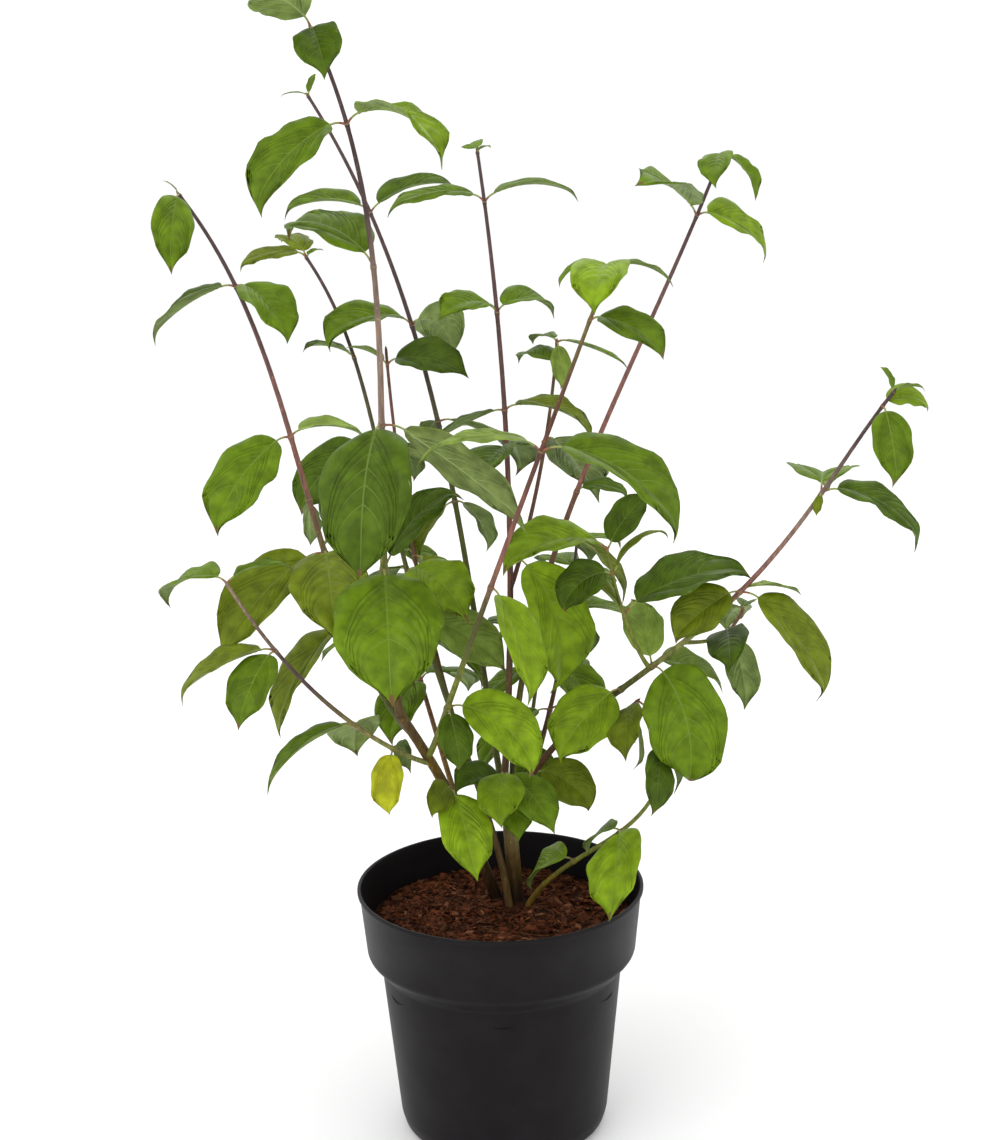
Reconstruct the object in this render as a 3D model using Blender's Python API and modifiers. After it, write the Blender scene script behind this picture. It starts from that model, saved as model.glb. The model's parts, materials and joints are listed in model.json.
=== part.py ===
"""Red-barked dogwood: a young shrub of several canes in a round nursery pot.

The tables are in millimetres and degrees, and the meshes are in metres, +Z up. The origin is the
centre of the pot's flat underside, -Y is the front and +X the right. A bearing is seen from above:
0 is the right, 90 the back, 180 the left and 270 the front.
"""
import math
import random
from collections import namedtuple

import bmesh
import bpy
from mathutils import Matrix, Vector
from mathutils.bvhtree import BVHTree

MM = 0.001
GAP = 0.3

# Pot
POT_HEIGHT = 170.0
RIM_RADIUS = 95.0
COLLAR_RADIUS = 89.2
COLLAR_FOOT = 130.5
SHOULDER_RADIUS = 82.0
SHOULDER_FOOT = 122.0
BODY_FOOT_RADIUS = 70.0
BASE_RADIUS = 61.0
WALL = 1.6
FLOOR = 2.4
LIP = 2.6
POT_SIDES = 48
DRAIN_HOLES = 6
DRAIN_RADIUS = 6.0
DRAIN_RING = 48.0

# Growing medium and bark mulch
GROUND = 145.0
MULCH_DEPTH = 9.0
MULCH_SIDES = 32
MULCH_RINGS = 6
MULCH_BUMP = 2.5
FOOT_PLATE = 34.0
FOOT_CENTRE = Vector((6.0, 16.0, 0.0))

# Habit of a leaf, as shares of its length and angles
LEAF_WIDTH = 0.58
LEAF_THICK = 0.017
PETIOLE = 0.15
PETIOLE_THICK = 1.5
PETIOLE_FOOT = 0.3
PETIOLE_RISE = 45.0
STEEPEST_PETIOLE = 60.0
ARCH = 45.0
ARCH_JITTER = 4.0
TIP_CURL = 25.0
CURL_START = 0.8
FOLD = 16.0
SWAY = 5.0
PETIOLE_STEPS = 6
BLADE_STEPS = 24
OUTLINE = ((0, 0.05), (0.12, 0.60), (0.42, 1.0), (0.74, 0.72), (1, 0))
GUARD_THICK = 2.4
GUARD_EDGE = 0.8
NUDGES = ((0, 0), (8, 0), (-8, 0), (0, 8), (0, -8), (12, 12), (-12, 12), (12, -12), (-12, -12),
          (20, 0), (-20, 0), (0, 20), (0, -20), (26, 14), (-26, 14), (34, 0), (-34, 0))

# Habit of the pairs that the rule places by itself
RULE_DROOP = (48.0, 12.0)
RULE_LENGTH = 74.0
RULE_JITTER = 9.0

# Habit of a limb
FLARE = 0.22
CROOK_REACH = 6.0
BUD_LENGTH = 3.0
BUD_THICK = 0.9
TUBE_STEP = 38.0

Leaf = namedtuple("Leaf", "bearing droop length roll wide tone arch", defaults=(0, 1.0, "mid", ARCH))
Limb = namedtuple("Limb", "parent share points thick bare pairs", defaults=((),))


def rule(share, bearing, scale=1.0, tone="mid"):
    """A pair that the rule fills in: only where it sits and which way its first leaf points."""
    return share, bearing, scale, tone


# Each limb: its parent and where it leaves it, or its foot on the ground, then the points it runs
# through up to its tip, its thickness at foot and tip, and the share below which it is bare. A limb
# that is bare to 0 has no bough of its own: its leaves begin at the parent's bark, or, where the
# parent is leafy there, it is one of the parent's twigs. Each pair of leaves: its share of the limb,
# then the leaves.
LIMBS = {
    "main_stem": Limb(None, (10, 22, 145), ((8, 18, 190), (4, 15, 236)), (11.0, 8.5), 1),
    "left_stem": Limb(None, (-2, 28, 145), ((-31, -2, 231), (-61, -35, 299)), (7.6, 6.2), 1),
    "olive_stem": Limb(None, (6, 10, 145), ((-7, 14, 210), (-37, 25, 303), (-63, 50, 395), (-122, 105, 576)),
                       (4.4, 2.2), 0.30, (
        (0.45, Leaf(350, 35, 60, 40, 1.1, "pale", 30), Leaf(190, 40, 52, 0, 1.0, "dark")),
        (0.52, Leaf(305, 20, 70, 20, 1.0, "bright", 50), Leaf(125, 30, 48, 0, 1.0, "dark")),
        (0.70, Leaf(195, 42, 66, -45, 1.0, "dark", 60), Leaf(355, 25, 66, -10, 0.9, "olive", 20)),
        (0.84, Leaf(195, -8, 34, 0, 1.0, "dark")),
        (1.0, Leaf(192, 12, 44, -15, 1.0, "olive", 50), Leaf(120, -12, 38, 0, 1.1, "olive"),
         Leaf(40, -10, 14)))),
    "low_stem": Limb(None, (17, 12, 145),
                     ((37, 3, 174), (90, -15, 220), (106, -20, 268)), (3.8, 2.2), 0.28, (
        (0.33, Leaf(130, 42, 54, -30, 1.0, "bright")),
        (0.58, Leaf(262, 36, 68, 35, 1.15, "bright", 50), Leaf(125, 40, 42, -20)),
        (1.0, Leaf(260, 45, 46, -50, 1.0, "dark"), Leaf(90, 60, 46, -60, 1.0, "dark")))),
    "tall_cane": Limb("left_stem", 1.0,
                      ((-67, -55, 400), (-65, -60, 520), (-100, -40, 718)), (5.4, 2.2), 0.19, (
        (0.235, Leaf(273, 46, 102, 0, 1.18, "mid", 45), Leaf(5, -42, 62, 26, 0.95, "dark")),
        (0.455, Leaf(260, 59, 106, 10, 1.03, "dark", 70), Leaf(355, 37, 96, -55, 0.54, "olive", 10)),
        (0.683, Leaf(140, -10, 74, -12, 1.0, "mid", 60)),
        (0.865, Leaf(208, 42, 76, -30, 0.96), Leaf(330, 24, 76, -6, 1.0, "bright", 85)),
        (1.0, Leaf(245, -8, 60, 40, 1.0, "bright"), Leaf(285, 40, 44, 20, 1.15, "dark", 30)))),
    "left_cane": Limb("left_stem", 0.90,
                      ((-102, -22, 396), (-128, -8, 489), (-191, 20, 622)), (4.6, 2.2), 0.13, (
        (0.21, Leaf(188, 60, 80, -15, 0.85, "olive")),
        (0.345, Leaf(278, 30, 78, 10, 1.1, "olive", 40), Leaf(205, 44, 84, -30, 0.88, "olive", 30)),
        (0.44, Leaf(95, 100, 28, 40, 1.0, "dark", 40)),
        (0.55, Leaf(220, 44, 80, -35, 0.97, "mid", 40), Leaf(20, 10, 46, 5, 1.0, "pale", 50)),
        (0.82, Leaf(176, 35, 60, -5, 1.0, "dark", 30), Leaf(316, 38, 55, 8, 1.1, "mid", 55)),
        (1.0, Leaf(268, 53, 62, -30, 0.9, "mid", 50), Leaf(185, -40, 12)))),
    "front_cane": Limb("left_stem", 0.77, ((2, -90, 408), (70, -74, 579)), (4.2, 2.2), 0.10, (
        (0.145, Leaf(350, 45, 68, 40, 1.0, "bright", 70), Leaf(290, 60, 38, 10, 1.0, "dark", 30)),
        (0.43, Leaf(300, 55, 70, -20, 0.9, "bright", 30)),
        (0.69, Leaf(180, -2, 68, 0, 0.85, "pale", 60), Leaf(345, 27, 98, 14, 0.92, "mid", 72)),
        (0.915, Leaf(325, 25, 50, 20, 1.0, "mid", 50)),
        (1.0, Leaf(257, 25, 54, 0, 1.15, "mid", 50), Leaf(185, 24, 32, -10, 0.7, "mid", 80),
         Leaf(5, 22, 38, 0, 0.8, "mid", 60)))),
    "centre_cane": Limb("main_stem", 1.0, ((10, 50, 440), (-6, 95, 636)), (5.0, 2.2), 0.33, (
        (0.365, Leaf(330, 75, 92, 20, 1.0, "bright", 60)),
        (0.54, Leaf(238, 18, 60, 10, 1.25, "dark", 30), Leaf(60, 30, 60, 20, 1.0, "dark", 50)),
        (0.60, Leaf(190, 22, 62, 10, 1.1, "dark", 20), Leaf(345, 20, 60, 0, 1.0, "olive", 55)),
        (0.763, Leaf(225, 5, 54, -20, 1.0, "mid", 60), Leaf(30, 15, 46, 15, 1.1, "mid", 90)),
        (0.93, Leaf(185, 10, 62, -10, 1.0, "mid", 50), Leaf(5, 4, 60, 0, 1.0, "mid", 60)),
        (1.0, Leaf(160, 0, 22, -20, 1.1, "dark", 60), Leaf(330, -5, 18, 20, 1.2, "dark", 60)))),
    "back_cane": Limb("main_stem", 0.80,
                      ((-13, 55, 343), (-43, 100, 496), (-121, 155, 681)), (4.6, 2.2), 0.18, (
        (0.24, Leaf(200, 35, 60, 0, 1.0, "olive"), Leaf(20, 30, 60, 0, 1.0, "dark")),
        (0.41, Leaf(25, 62, 42, -15, 1.0, "dark", 55), Leaf(205, 40, 50, 0, 1.0, "olive")),
        (0.52, Leaf(115, 45, 28, 20, 1.0, "dark"), Leaf(10, 28, 66, -10, 1.0, "mid", 20)),
        (0.655, Leaf(208, 12, 78, -15, 0.88, "mid", 55), Leaf(55, 35, 54, -40, 1.2, "pale", 80)),
        (0.82, Leaf(180, 5, 57, -12), Leaf(18, -8, 68, 12, 0.95, "dark", 50)),
        (1.0, Leaf(185, 5, 18), Leaf(75, -50, 20, -20, 0.6)))),
    "right_cane": Limb("main_stem", 0.84,
                       ((39, 38, 389), (86, 52, 498), (152, 80, 638)), (4.6, 2.2), 0.24, (
        (0.30, Leaf(25, 50, 54, -10, 1.0, "dark", 40)),
        (0.40, Leaf(350, 50, 58, 0, 1.0, "olive", 50), Leaf(40, 40, 38, 0, 1.0, "dark", 40)),
        (0.47, Leaf(355, 12, 34, 15, 1.0, "dark", 60)),
        (0.905, Leaf(235, -14, 68, -20, 1.0, "mid", 40), Leaf(28, 33, 62, 38, 1.0, "bright", 50)),
        (1.0, Leaf(255, 30, 40, 10, 1.0, "mid", 40), Leaf(330, 55, 36, 0, 1.0, "mid", 60)))),
    "far_right_cane": Limb("main_stem", 0.74,
                           ((40, 10, 268), (100, -5, 321), (169, -16, 387), (246, -30, 498)),
                           (4.8, 2.2), 0.07, (
        (0.08, Leaf(333, 33, 46, 45, 1.15, "olive", 70)),
        (0.22, Leaf(80, 30, 56, 0, 1.0, "dark")),
        (0.31, Leaf(218, 31, 60, -30, 1.2, "bright", 30)),
        (0.38, Leaf(300, 70, 84, 40, 1.1, "mid", 90), Leaf(352, 26, 58, 15, 1.0, "bright", 60),
         Leaf(105, -40, 48, -10, 1.0, "pale", 30)),
        (0.58, Leaf(200, 24, 50, -35, 1.25, "olive", 30), Leaf(345, 55, 82, 20, 0.9, "olive", 40),
         Leaf(5, 10, 38, -10, 1.0, "pale", 40)),
        (0.795, Leaf(354, 31, 80, 15, 0.9, "dark", 64),
         Leaf(80, 14, 72, 0, 1.1, "mid", 50), Leaf(240, 60, 14, 0, 0.8, "olive", 30)),
        (0.985, Leaf(275, 56, 52, 10, 0.85, "mid", 30), Leaf(0, 42, 30, 20, 1.0, "bright", 95)),
        (1.0, Leaf(150, -55, 24, -10), Leaf(335, -2, 27, 10, 1.0, "dark")))),
    "inner_cane": Limb("olive_stem", 0.26, ((-46, 45, 349), (-70, 95, 514)), (3.4, 2.0), 0.34, (
        (0.48, Leaf(302, 35, 50, 0, 1.0, "olive"), Leaf(122, 25, 50, 0, 1.0, "dark")),
        (0.77, Leaf(190, 38, 75, 10, 1.0, "mid", 20), Leaf(60, 60, 36, 0, 1.1, "dark", 50)),
        (0.963, Leaf(335, 16, 56, 35, 1.0, "mid", 40), Leaf(185, -10, 28, 10, 1.0, "mid", 40)))),
    "short_cane": Limb("centre_cane", 0.31, ((35, 75, 452), (45, 105, 516)), (3.2, 2.0), 0.45, (
        (0.60, Leaf(332, 45, 60, 20, 1.15, "mid", 40)),
        (0.90, Leaf(125, 3, 40, -10, 1.0, "mid", 50)),
        (1.0, Leaf(125, 10, 28, 0, 1.0, "mid", 50), Leaf(342, 22, 48, -10, 1.0, "mid", 20),
         Leaf(280, 62, 32, 10, 0.75, "pale", 30)))),
    "low_left_shoot": Limb("left_stem", 0.73, ((-119, -65, 334), (-161, -70, 395)), (3.4, 2.0), 0.10, (
        (0.16, Leaf(258, 70, 40, 0, 0.95, "yellow", 50), Leaf(75, 45, 40, -60, 0.6, "mid", 50)),
        (0.33, Leaf(190, 38, 66, 4, 0.8), Leaf(98, 40, 56, -10, 1.1, "pale", 40)),
        (0.735, Leaf(180, 28, 62, -2, 1.0, "olive", 30), Leaf(230, 36, 52, -5, 1.05)),
        (1.0, Leaf(150, 26, 54, -10, 1.0, "mid", 60), Leaf(20, -3, 40, 0, 0.75, "mid", 50)))),
    "middle_shoot": Limb("far_right_cane", 0.375, ((84, -15, 353), (71, -20, 400)), (2.8, 2.0), 0, (
        (0.49, Leaf(185, -55, 42, -10, 1.0, "olive", 40), Leaf(8, -4, 80, 14, 1.05, "dark", 40)),
        (0.81, Leaf(205, 48, 46, -45, 0.62, "dark", 75), Leaf(20, -25, 46, -10, 0.6, "olive", 80)),
        (1.0, Leaf(205, 8, 72, -15, 1.0, "bright", 50), Leaf(8, -50, 40, 50, 1.0, "dark", 30)))),
    "hooked_shoot": Limb("far_right_cane", 0.16, ((80, 0, 286), (91, -5, 296)), (2.8, 2.0), 0, (
        (0.85, Leaf(265, 25, 50, 30, 0.95, "pale"), Leaf(50, 82, 44, 50, 1.0, "pale")),
        (1.0, Leaf(310, 75, 58, -40, 1.0, "dark", 20)))),
    "right_shoot": Limb("far_right_cane", 0.45, ((147, 2, 338), (161, 15, 350)), (2.6, 2.0), 0, (
        (0.62, Leaf(265, 15, 50, 20, 1.0, "dark", 30), Leaf(40, 75, 54, -20, 0.8, "pale", 20)),
        (1.0, Leaf(100, 35, 44, 10, 1.0, "pale", 40), Leaf(70, 10, 24)))),
    "left_spur": Limb("left_stem", 0.52, ((-29, -14, 238), (-30, -22, 245)), (2.6, 2.0), 0, (
        (1.0, Leaf(287, 48, 60, 0, 1.0, "bright", 30), Leaf(255, 15, 34, -50, 1.0, "olive", 40)),)),
    "main_spur": Limb("main_stem", 0.93, ((5, 0, 239), (3, -16, 252)), (2.6, 2.0), 0, (
        (0.62, Leaf(215, 0, 40, -15, 1.2, "dark", 50), Leaf(287, 50, 38, 10, 1.1, "mid", 30)),
        (1.0, Leaf(258, 28, 46, 0, 1.2, "bright", 40), Leaf(315, 30, 50, 10, 1.1, "mid", 40)))),
    "back_right_cane": Limb("main_stem", 0.58, ((45, 115, 290), (60, 175, 360)), (4.2, 2.2), 0.30, (
        rule(0.42, 20), rule(0.58, 110), rule(0.76, 20), rule(0.90, 110, 0.9), rule(1.0, 20, 0.6))),
    "back_left_cane": Limb("left_stem", 0.40, ((-60, 105, 305), (-88, 165, 385)), (4.0, 2.2), 0.35, (
        rule(0.46, 60), rule(0.62, 150), rule(0.78, 60), rule(0.90, 150, 0.9), rule(1.0, 60, 0.6))),
    "back_low_shoot": Limb("main_stem", 0.42, ((25, 110, 255), (40, 170, 330)), (3.6, 2.2), 0.30, (
        rule(0.42, 100, 0.85), rule(0.70, 10), rule(1.0, 100, 0.7))),
}


def limb_path(points, crook):
    """The smooth curve through a limb's points, by the share of its way."""
    steps = [(after - here).length for here, after in zip(points, points[1:])]
    length = sum(steps)
    knots = [sum(steps[:number]) / length for number in range(len(points))]

    def at(share):
        place = crook * (1 - share) * (1 - math.exp(-max(share, 0) * length / CROOK_REACH))
        for point, knot in zip(points, knots):
            weight = 1.0
            for other in knots:
                if other != knot:
                    weight *= (share - other) / (knot - other)
            place = place + point * weight
        return place

    return at


def limb_paths():
    """Every limb's curve. A side limb starts on its parent's and swings out past the parent's bark."""
    paths = {}
    for name, limb in LIMBS.items():
        points = [Vector(point) for point in limb.points]
        if limb.parent:
            foot = paths[limb.parent](limb.share)
            outward = ((points[0] - foot) * Vector((1, 1, 0))).normalized()
            crook = outward * (thickness(LIMBS[limb.parent], limb.share) / 2 if limb.share < 1 else 0)
        else:
            foot, crook = Vector(limb.share), Vector()
        paths[name] = limb_path([foot] + points, crook)
    return paths


def thickness(limb, share):
    """A limb's diameter: an even taper, with a flare where it stands in the ground."""
    foot, tip = limb.thick
    flare = 0 if limb.parent else FLARE * math.exp(-max(share, 0) * 14)
    return (foot + (tip - foot) * share) * (1 + flare)


def leaf_spine(leaf, chance):
    """The points and slopes down a petiole and its midrib, from the node."""
    arch = leaf.arch + chance.uniform(-ARCH_JITTER, ARCH_JITTER)
    sway = chance.uniform(-SWAY, SWAY)
    base = arch / 2 - leaf.droop
    start = min(base + PETIOLE_RISE, STEEPEST_PETIOLE)
    point = Vector((0, 0, 0))
    spine = [(point.copy(), start, leaf.bearing)]
    for step in range(PETIOLE_STEPS):
        slope = start + (base - start) * (step + 0.5) / PETIOLE_STEPS
        point += heading(leaf.bearing, slope) * leaf.length * PETIOLE / PETIOLE_STEPS
        spine.append((point.copy(), slope, leaf.bearing))
    for step in range(BLADE_STEPS):
        along = (step + 0.5) / BLADE_STEPS
        curl = TIP_CURL * max(0, along - CURL_START) / (1 - CURL_START)
        slope = base - arch * along - curl
        bearing = leaf.bearing + sway * along
        point += heading(bearing, slope) * leaf.length / BLADE_STEPS
        spine.append((point.copy(), slope, bearing))
    return spine


def heading(bearing, slope):
    """A unit vector by its bearing and its slope above the horizontal."""
    across, up = math.radians(bearing), math.radians(slope)
    return Vector((math.cos(across) * math.cos(up), math.sin(across) * math.cos(up), math.sin(up)))


def blade_axes(bearing, slope, roll):
    """A blade's sideways and upward axes at one point of its midrib."""
    along = heading(bearing, slope)
    side = heading(bearing + 90, 0)
    turn = Matrix.Rotation(math.radians(roll), 3, along)
    return turn @ side, turn @ along.cross(side)


def leaf_sections(node, leaf, chance, thick, edge=0.0):
    """Four-cornered sections of a leaf: its petiole, then its blade folded along the midrib."""
    spine = leaf_spine(leaf, chance)
    fold = math.radians(FOLD + chance.uniform(-5, 5))
    sections = []
    for step, reach in ((0, PETIOLE_THICK / 4), (PETIOLE_STEPS // 2, PETIOLE_THICK / 2 + edge / 2)):
        point, slope, bearing = spine[step]
        side, up = blade_axes(bearing, slope, leaf.roll)
        centre = node + point + heading(bearing, slope) * PETIOLE_FOOT
        sections.append([centre + way * reach for way in (side, up, -side, -up)])
    for along, width in OUTLINE:
        point, slope, bearing = spine[PETIOLE_STEPS + round(along * BLADE_STEPS)]
        side, up = blade_axes(bearing, slope, leaf.roll)
        half = leaf.length * LEAF_WIDTH * leaf.wide * width / 2
        half = max(half + edge, PETIOLE_THICK / 2) if width else 0
        raised = up * math.sin(fold) * half
        across = side * math.cos(fold) * half
        body = max(thick, PETIOLE_THICK) if along < 0.1 else thick
        centre = node + point
        if width:
            sections.append([centre + across + raised, centre + up * body / 2,
                             centre - across + raised, centre - up * body / 2])
        else:
            sections.append([centre])
    return sections


def section_faces(sections):
    """The points and faces of a closed skin over four-cornered sections that end in a point."""
    points = [point for section in sections for point in section]
    faces = [(0, 1, 2, 3)]
    first = 0
    for here, after in zip(sections, sections[1:]):
        second = first + len(here)
        for corner in range(4):
            other = (corner + 1) % 4
            if len(after) == 1:
                faces.append((first + corner, second, first + other))
            else:
                faces.append((first + corner, second + corner, second + other, first + other))
        first = second
    return points, faces


def guard_tree(sections):
    """A tree of the space that a leaf keeps to itself, over some of its sections."""
    points, faces = section_faces(sections)
    return BVHTree.FromPolygons(points, faces)


def tube_tree(path, limb, start=0.0):
    """A tree of a limb's own space."""
    rings = []
    steps, sides = 16, 8
    for step in range(steps + 1):
        share = start + (1 - start) * step / steps
        along = (path(min(share + 0.01, 1.0)) - path(min(share, 0.99))).normalized()
        side = along.orthogonal().normalized()
        other = along.cross(side)
        reach = thickness(limb, share) / 2 + 0.5
        angles = [math.tau * turn / sides for turn in range(sides)]
        rings.append([path(share) + (side * math.cos(angle) + other * math.sin(angle)) * reach
                      for angle in angles])
    points = [point for ring in rings for point in ring]
    faces = [(sides * ring + corner, sides * ring + (corner + 1) % sides,
              sides * (ring + 1) + (corner + 1) % sides, sides * (ring + 1) + corner)
             for ring in range(steps) for corner in range(sides)]
    return BVHTree.FromPolygons(points, faces)


def ruled_pair(share, bearing, scale, tone, chance):
    """The two leaves of a pair that the rule fills in."""
    droop = RULE_DROOP[0] + (RULE_DROOP[1] - RULE_DROOP[0]) * share
    length = RULE_LENGTH * scale * (1 - 0.25 * share)
    leaves = []
    for turn in (0, 180):
        leaves.append(Leaf(bearing + turn + chance.uniform(-RULE_JITTER, RULE_JITTER),
                           droop + chance.uniform(-RULE_JITTER, RULE_JITTER),
                           length * chance.uniform(0.9, 1.08), 0, 1.0, tone))
    return leaves


def leaf_plan():
    """Every leaf that is asked for, those with their own values first: limb, share, seed, leaf."""
    chosen, filled = [], []
    for name, limb in LIMBS.items():
        for number, pair in enumerate(limb.pairs):
            seed = f"{name} {number}"
            if isinstance(pair[1], Leaf):
                chosen += [(name, pair[0], f"{seed} {side}", leaf) for side, leaf in enumerate(pair[1:])]
            else:
                leaves = ruled_pair(*pair, random.Random(seed))
                filled += [(name, pair[0], f"{seed} {side}", leaf) for side, leaf in enumerate(leaves)]
    return chosen + filled


def place_leaves(paths):
    """Turn each leaf a little until it is clear of the other limbs and leaves, or skip it.

    Only the foot of its blade may touch its own limb.
    """
    limb_trees = {name: tube_tree(paths[name], limb) for name, limb in LIMBS.items()}
    taken, placed, skipped = [], [], []
    for name, share, seed, leaf in leaf_plan():
        node = paths[name](share)
        for turn, dip in NUDGES:
            posed = leaf._replace(bearing=leaf.bearing + turn, droop=leaf.droop + dip)
            sections = leaf_sections(node, posed, random.Random(seed), GUARD_THICK, GUARD_EDGE)
            tree, blade = guard_tree(sections[1:]), guard_tree(sections[3:])
            lowest = min(point.z for section in sections for point in section)
            free = lowest > GROUND + 3 and not any(tree.overlap(other) for other in taken)
            if free and not any((blade if other == name else tree).overlap(limb_tree)
                                for other, limb_tree in limb_trees.items()):
                taken.append(tree)
                placed.append((name, share, seed, posed))
                break
        else:
            skipped.append((name, share, leaf))
    return placed, skipped


def finish(name, colour, roughness):
    """A plain material."""
    made = bpy.data.materials.new(name)
    made.use_nodes = True
    shader = made.node_tree.nodes["Principled BSDF"]
    shader.inputs["Base Color"].default_value = (*colour, 1)
    shader.inputs["Roughness"].default_value = roughness
    shader.inputs["Metallic"].default_value = 0.0
    return made


def add_object(name, mesh, collection, material=None):
    made = bpy.data.objects.new(name, mesh)
    collection.objects.link(made)
    if material:
        mesh.materials.append(material)
    return made


def as_cutter(cutter):
    cutter.hide_render = True
    cutter.display_type = "WIRE"
    return cutter


def cut(piece, cutter):
    """Take one closed shape out of another."""
    boolean = piece.modifiers.new("cut", "BOOLEAN")
    boolean.operation = "DIFFERENCE"
    boolean.solver = "EXACT"
    boolean.object = cutter


def evaluated_mesh(piece):
    depsgraph = bpy.context.evaluated_depsgraph_get()
    return bpy.data.meshes.new_from_object(piece.evaluated_get(depsgraph))


def arc(centre, radius, start, end, steps):
    """Points of an arc in a turned profile, as radius and height, by angles in degrees."""
    angles = [math.radians(start + (end - start) * step / steps) for step in range(steps + 1)]
    return [(centre[0] + radius * math.cos(angle), centre[1] + radius * math.sin(angle))
            for angle in angles]


def turned(name, profile, sides, collection, material):
    """A body turned about the Z axis from a profile that ends on the axis at both ends."""
    mesh = bpy.data.meshes.new(name)
    points = [(radius * MM, 0, height * MM) for radius, height in profile]
    mesh.from_pydata(points, [(step, step + 1) for step in range(len(points) - 1)], [])
    made = add_object(name, mesh, collection, material)
    screw = made.modifiers.new("turn", "SCREW")
    screw.axis = "Z"
    screw.steps = screw.render_steps = sides
    screw.use_merge_vertices = True
    screw.merge_threshold = 0.00005
    screw.use_smooth_shade = False
    return made


def inner_radius(height):
    """The radius of the pot's inner wall at a height."""
    stations = ((FLOOR, BASE_RADIUS), (12, BODY_FOOT_RADIUS - WALL), (SHOULDER_FOOT, SHOULDER_RADIUS - WALL),
                (COLLAR_FOOT, COLLAR_RADIUS - WALL - 1), (POT_HEIGHT, RIM_RADIUS - LIP))
    for (low, narrow), (high, wide) in zip(stations, stations[1:]):
        if height <= high:
            return narrow + (wide - narrow) * (height - low) / (high - low)
    return RIM_RADIUS - LIP


def pot(parts, cutters):
    """The nursery pot: a tapering body, a wider collar over a rounded shoulder, and a rolled lip."""
    base_edge, collar_edge = 10.0, 8.0
    inside = [(0, FLOOR)] + [(inner_radius(height), height)
                             for height in (FLOOR, 12, SHOULDER_FOOT, COLLAR_FOOT, POT_HEIGHT)]
    lip = [(RIM_RADIUS - 0.7, POT_HEIGHT), (RIM_RADIUS, POT_HEIGHT - 0.7), (RIM_RADIUS, POT_HEIGHT - LIP),
           (RIM_RADIUS - 1.2, POT_HEIGHT - LIP - 0.9)]
    collar = arc((COLLAR_RADIUS - collar_edge, COLLAR_FOOT), collar_edge, 0, -68, 4)
    body = [(SHOULDER_RADIUS, SHOULDER_FOOT)]
    base = arc((BODY_FOOT_RADIUS - base_edge, base_edge), base_edge, -5, -78, 4)
    profile = inside + lip + collar + body + base + [(BASE_RADIUS - 5, 0), (0, 0)]
    plastic = finish("black_plastic", (0.012, 0.012, 0.013), 0.42)
    made = turned("nursery_pot", profile, POT_SIDES, parts, plastic)
    for hole in range(DRAIN_HOLES):
        angle = math.tau * (hole + 0.5) / DRAIN_HOLES
        bpy.ops.mesh.primitive_cylinder_add(
            vertices=12, radius=DRAIN_RADIUS * MM, depth=4 * FLOOR * MM,
            location=(DRAIN_RING * MM * math.cos(angle), DRAIN_RING * MM * math.sin(angle), 0))
        drain = as_cutter(bpy.context.object)
        drain.name = f"drain_cutter_{hole + 1}"
        move_to(drain, cutters)
        cut(made, drain)


def move_to(piece, collection):
    for other in list(piece.users_collection):
        other.objects.unlink(piece)
    collection.objects.link(piece)


def growing_medium(parts):
    """The medium that fills the pot up to the mulch."""
    top = GROUND - MULCH_DEPTH - GAP
    side = [(inner_radius(height) - 0.5, height) for height in (top, COLLAR_FOOT, SHOULDER_FOOT, 13)]
    bottom = [(BASE_RADIUS - 3, FLOOR + GAP), (0, FLOOR + GAP)]
    turned("growing_medium", [(0, top)] + side + bottom, POT_SIDES, parts,
           finish("peat", (0.03, 0.02, 0.015), 0.95))


def bark_mulch(parts):
    """A loose layer of bark on the medium, bumpy except where the stems stand."""
    low = GROUND - MULCH_DEPTH
    edge = inner_radius(low) - 0.9
    rings = [(edge * ring / MULCH_RINGS, GROUND) for ring in range(MULCH_RINGS + 1)]
    layer = turned("bark_mulch", rings + [(edge, low), (0, low)], MULCH_SIDES, parts,
                   finish("bark_chips", (0.10, 0.035, 0.018), 0.9))
    mesh = evaluated_mesh(layer)
    chance = random.Random("mulch")
    for vertex in mesh.vertices:
        place = vertex.co / MM
        away = (place - FOOT_CENTRE - Vector((0, 0, GROUND))).length
        if place.z > GROUND - 1 and away > FOOT_PLATE:
            vertex.co.z += chance.uniform(-MULCH_BUMP, MULCH_BUMP) * MM
    layer.modifiers.clear()
    layer.data = mesh


def tube(name, centres, radii, collection, material=None, resolution=1):
    """A round limb through its centres, tapering, made a closed mesh."""
    curve = bpy.data.curves.new(name, "CURVE")
    curve.dimensions = "3D"
    curve.bevel_depth = MM
    curve.bevel_resolution = resolution
    curve.use_fill_caps = True
    spline = curve.splines.new("POLY")
    spline.points.add(len(centres) - 1)
    for point, centre, radius in zip(spline.points, centres, radii):
        point.co = (*(centre * MM), 1)
        point.radius = radius
    line = add_object(name + "_line", curve, collection)
    mesh = evaluated_mesh(line)
    matrix = line.matrix_world.copy()
    bpy.data.objects.remove(line)
    caps = bmesh.new()
    caps.from_mesh(mesh)
    bmesh.ops.remove_doubles(caps, verts=caps.verts, dist=0.000005)
    caps.to_mesh(mesh)
    caps.free()
    made = add_object(name, mesh, collection, material)
    made.matrix_world = matrix
    return made


def limb_tube(name, path, limb, start, end, collection, material=None, spread=0.0):
    """A limb between two shares of its way, or the wider shape that cuts room for it."""
    steps = max(3, round((path(end) - path(start)).length / TUBE_STEP))
    shares = [start + (end - start) * step / steps for step in range(steps + 1)]
    centres = [path(share) for share in shares]
    radii = [thickness(limb, share) / 2 + spread for share in shares]
    centres[0] += (centres[0] - centres[1]).normalized() * spread
    centres[-1] += (centres[-1] - centres[-2]).normalized() * spread
    return tube(name, centres, radii, collection, material, resolution=2)


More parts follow.
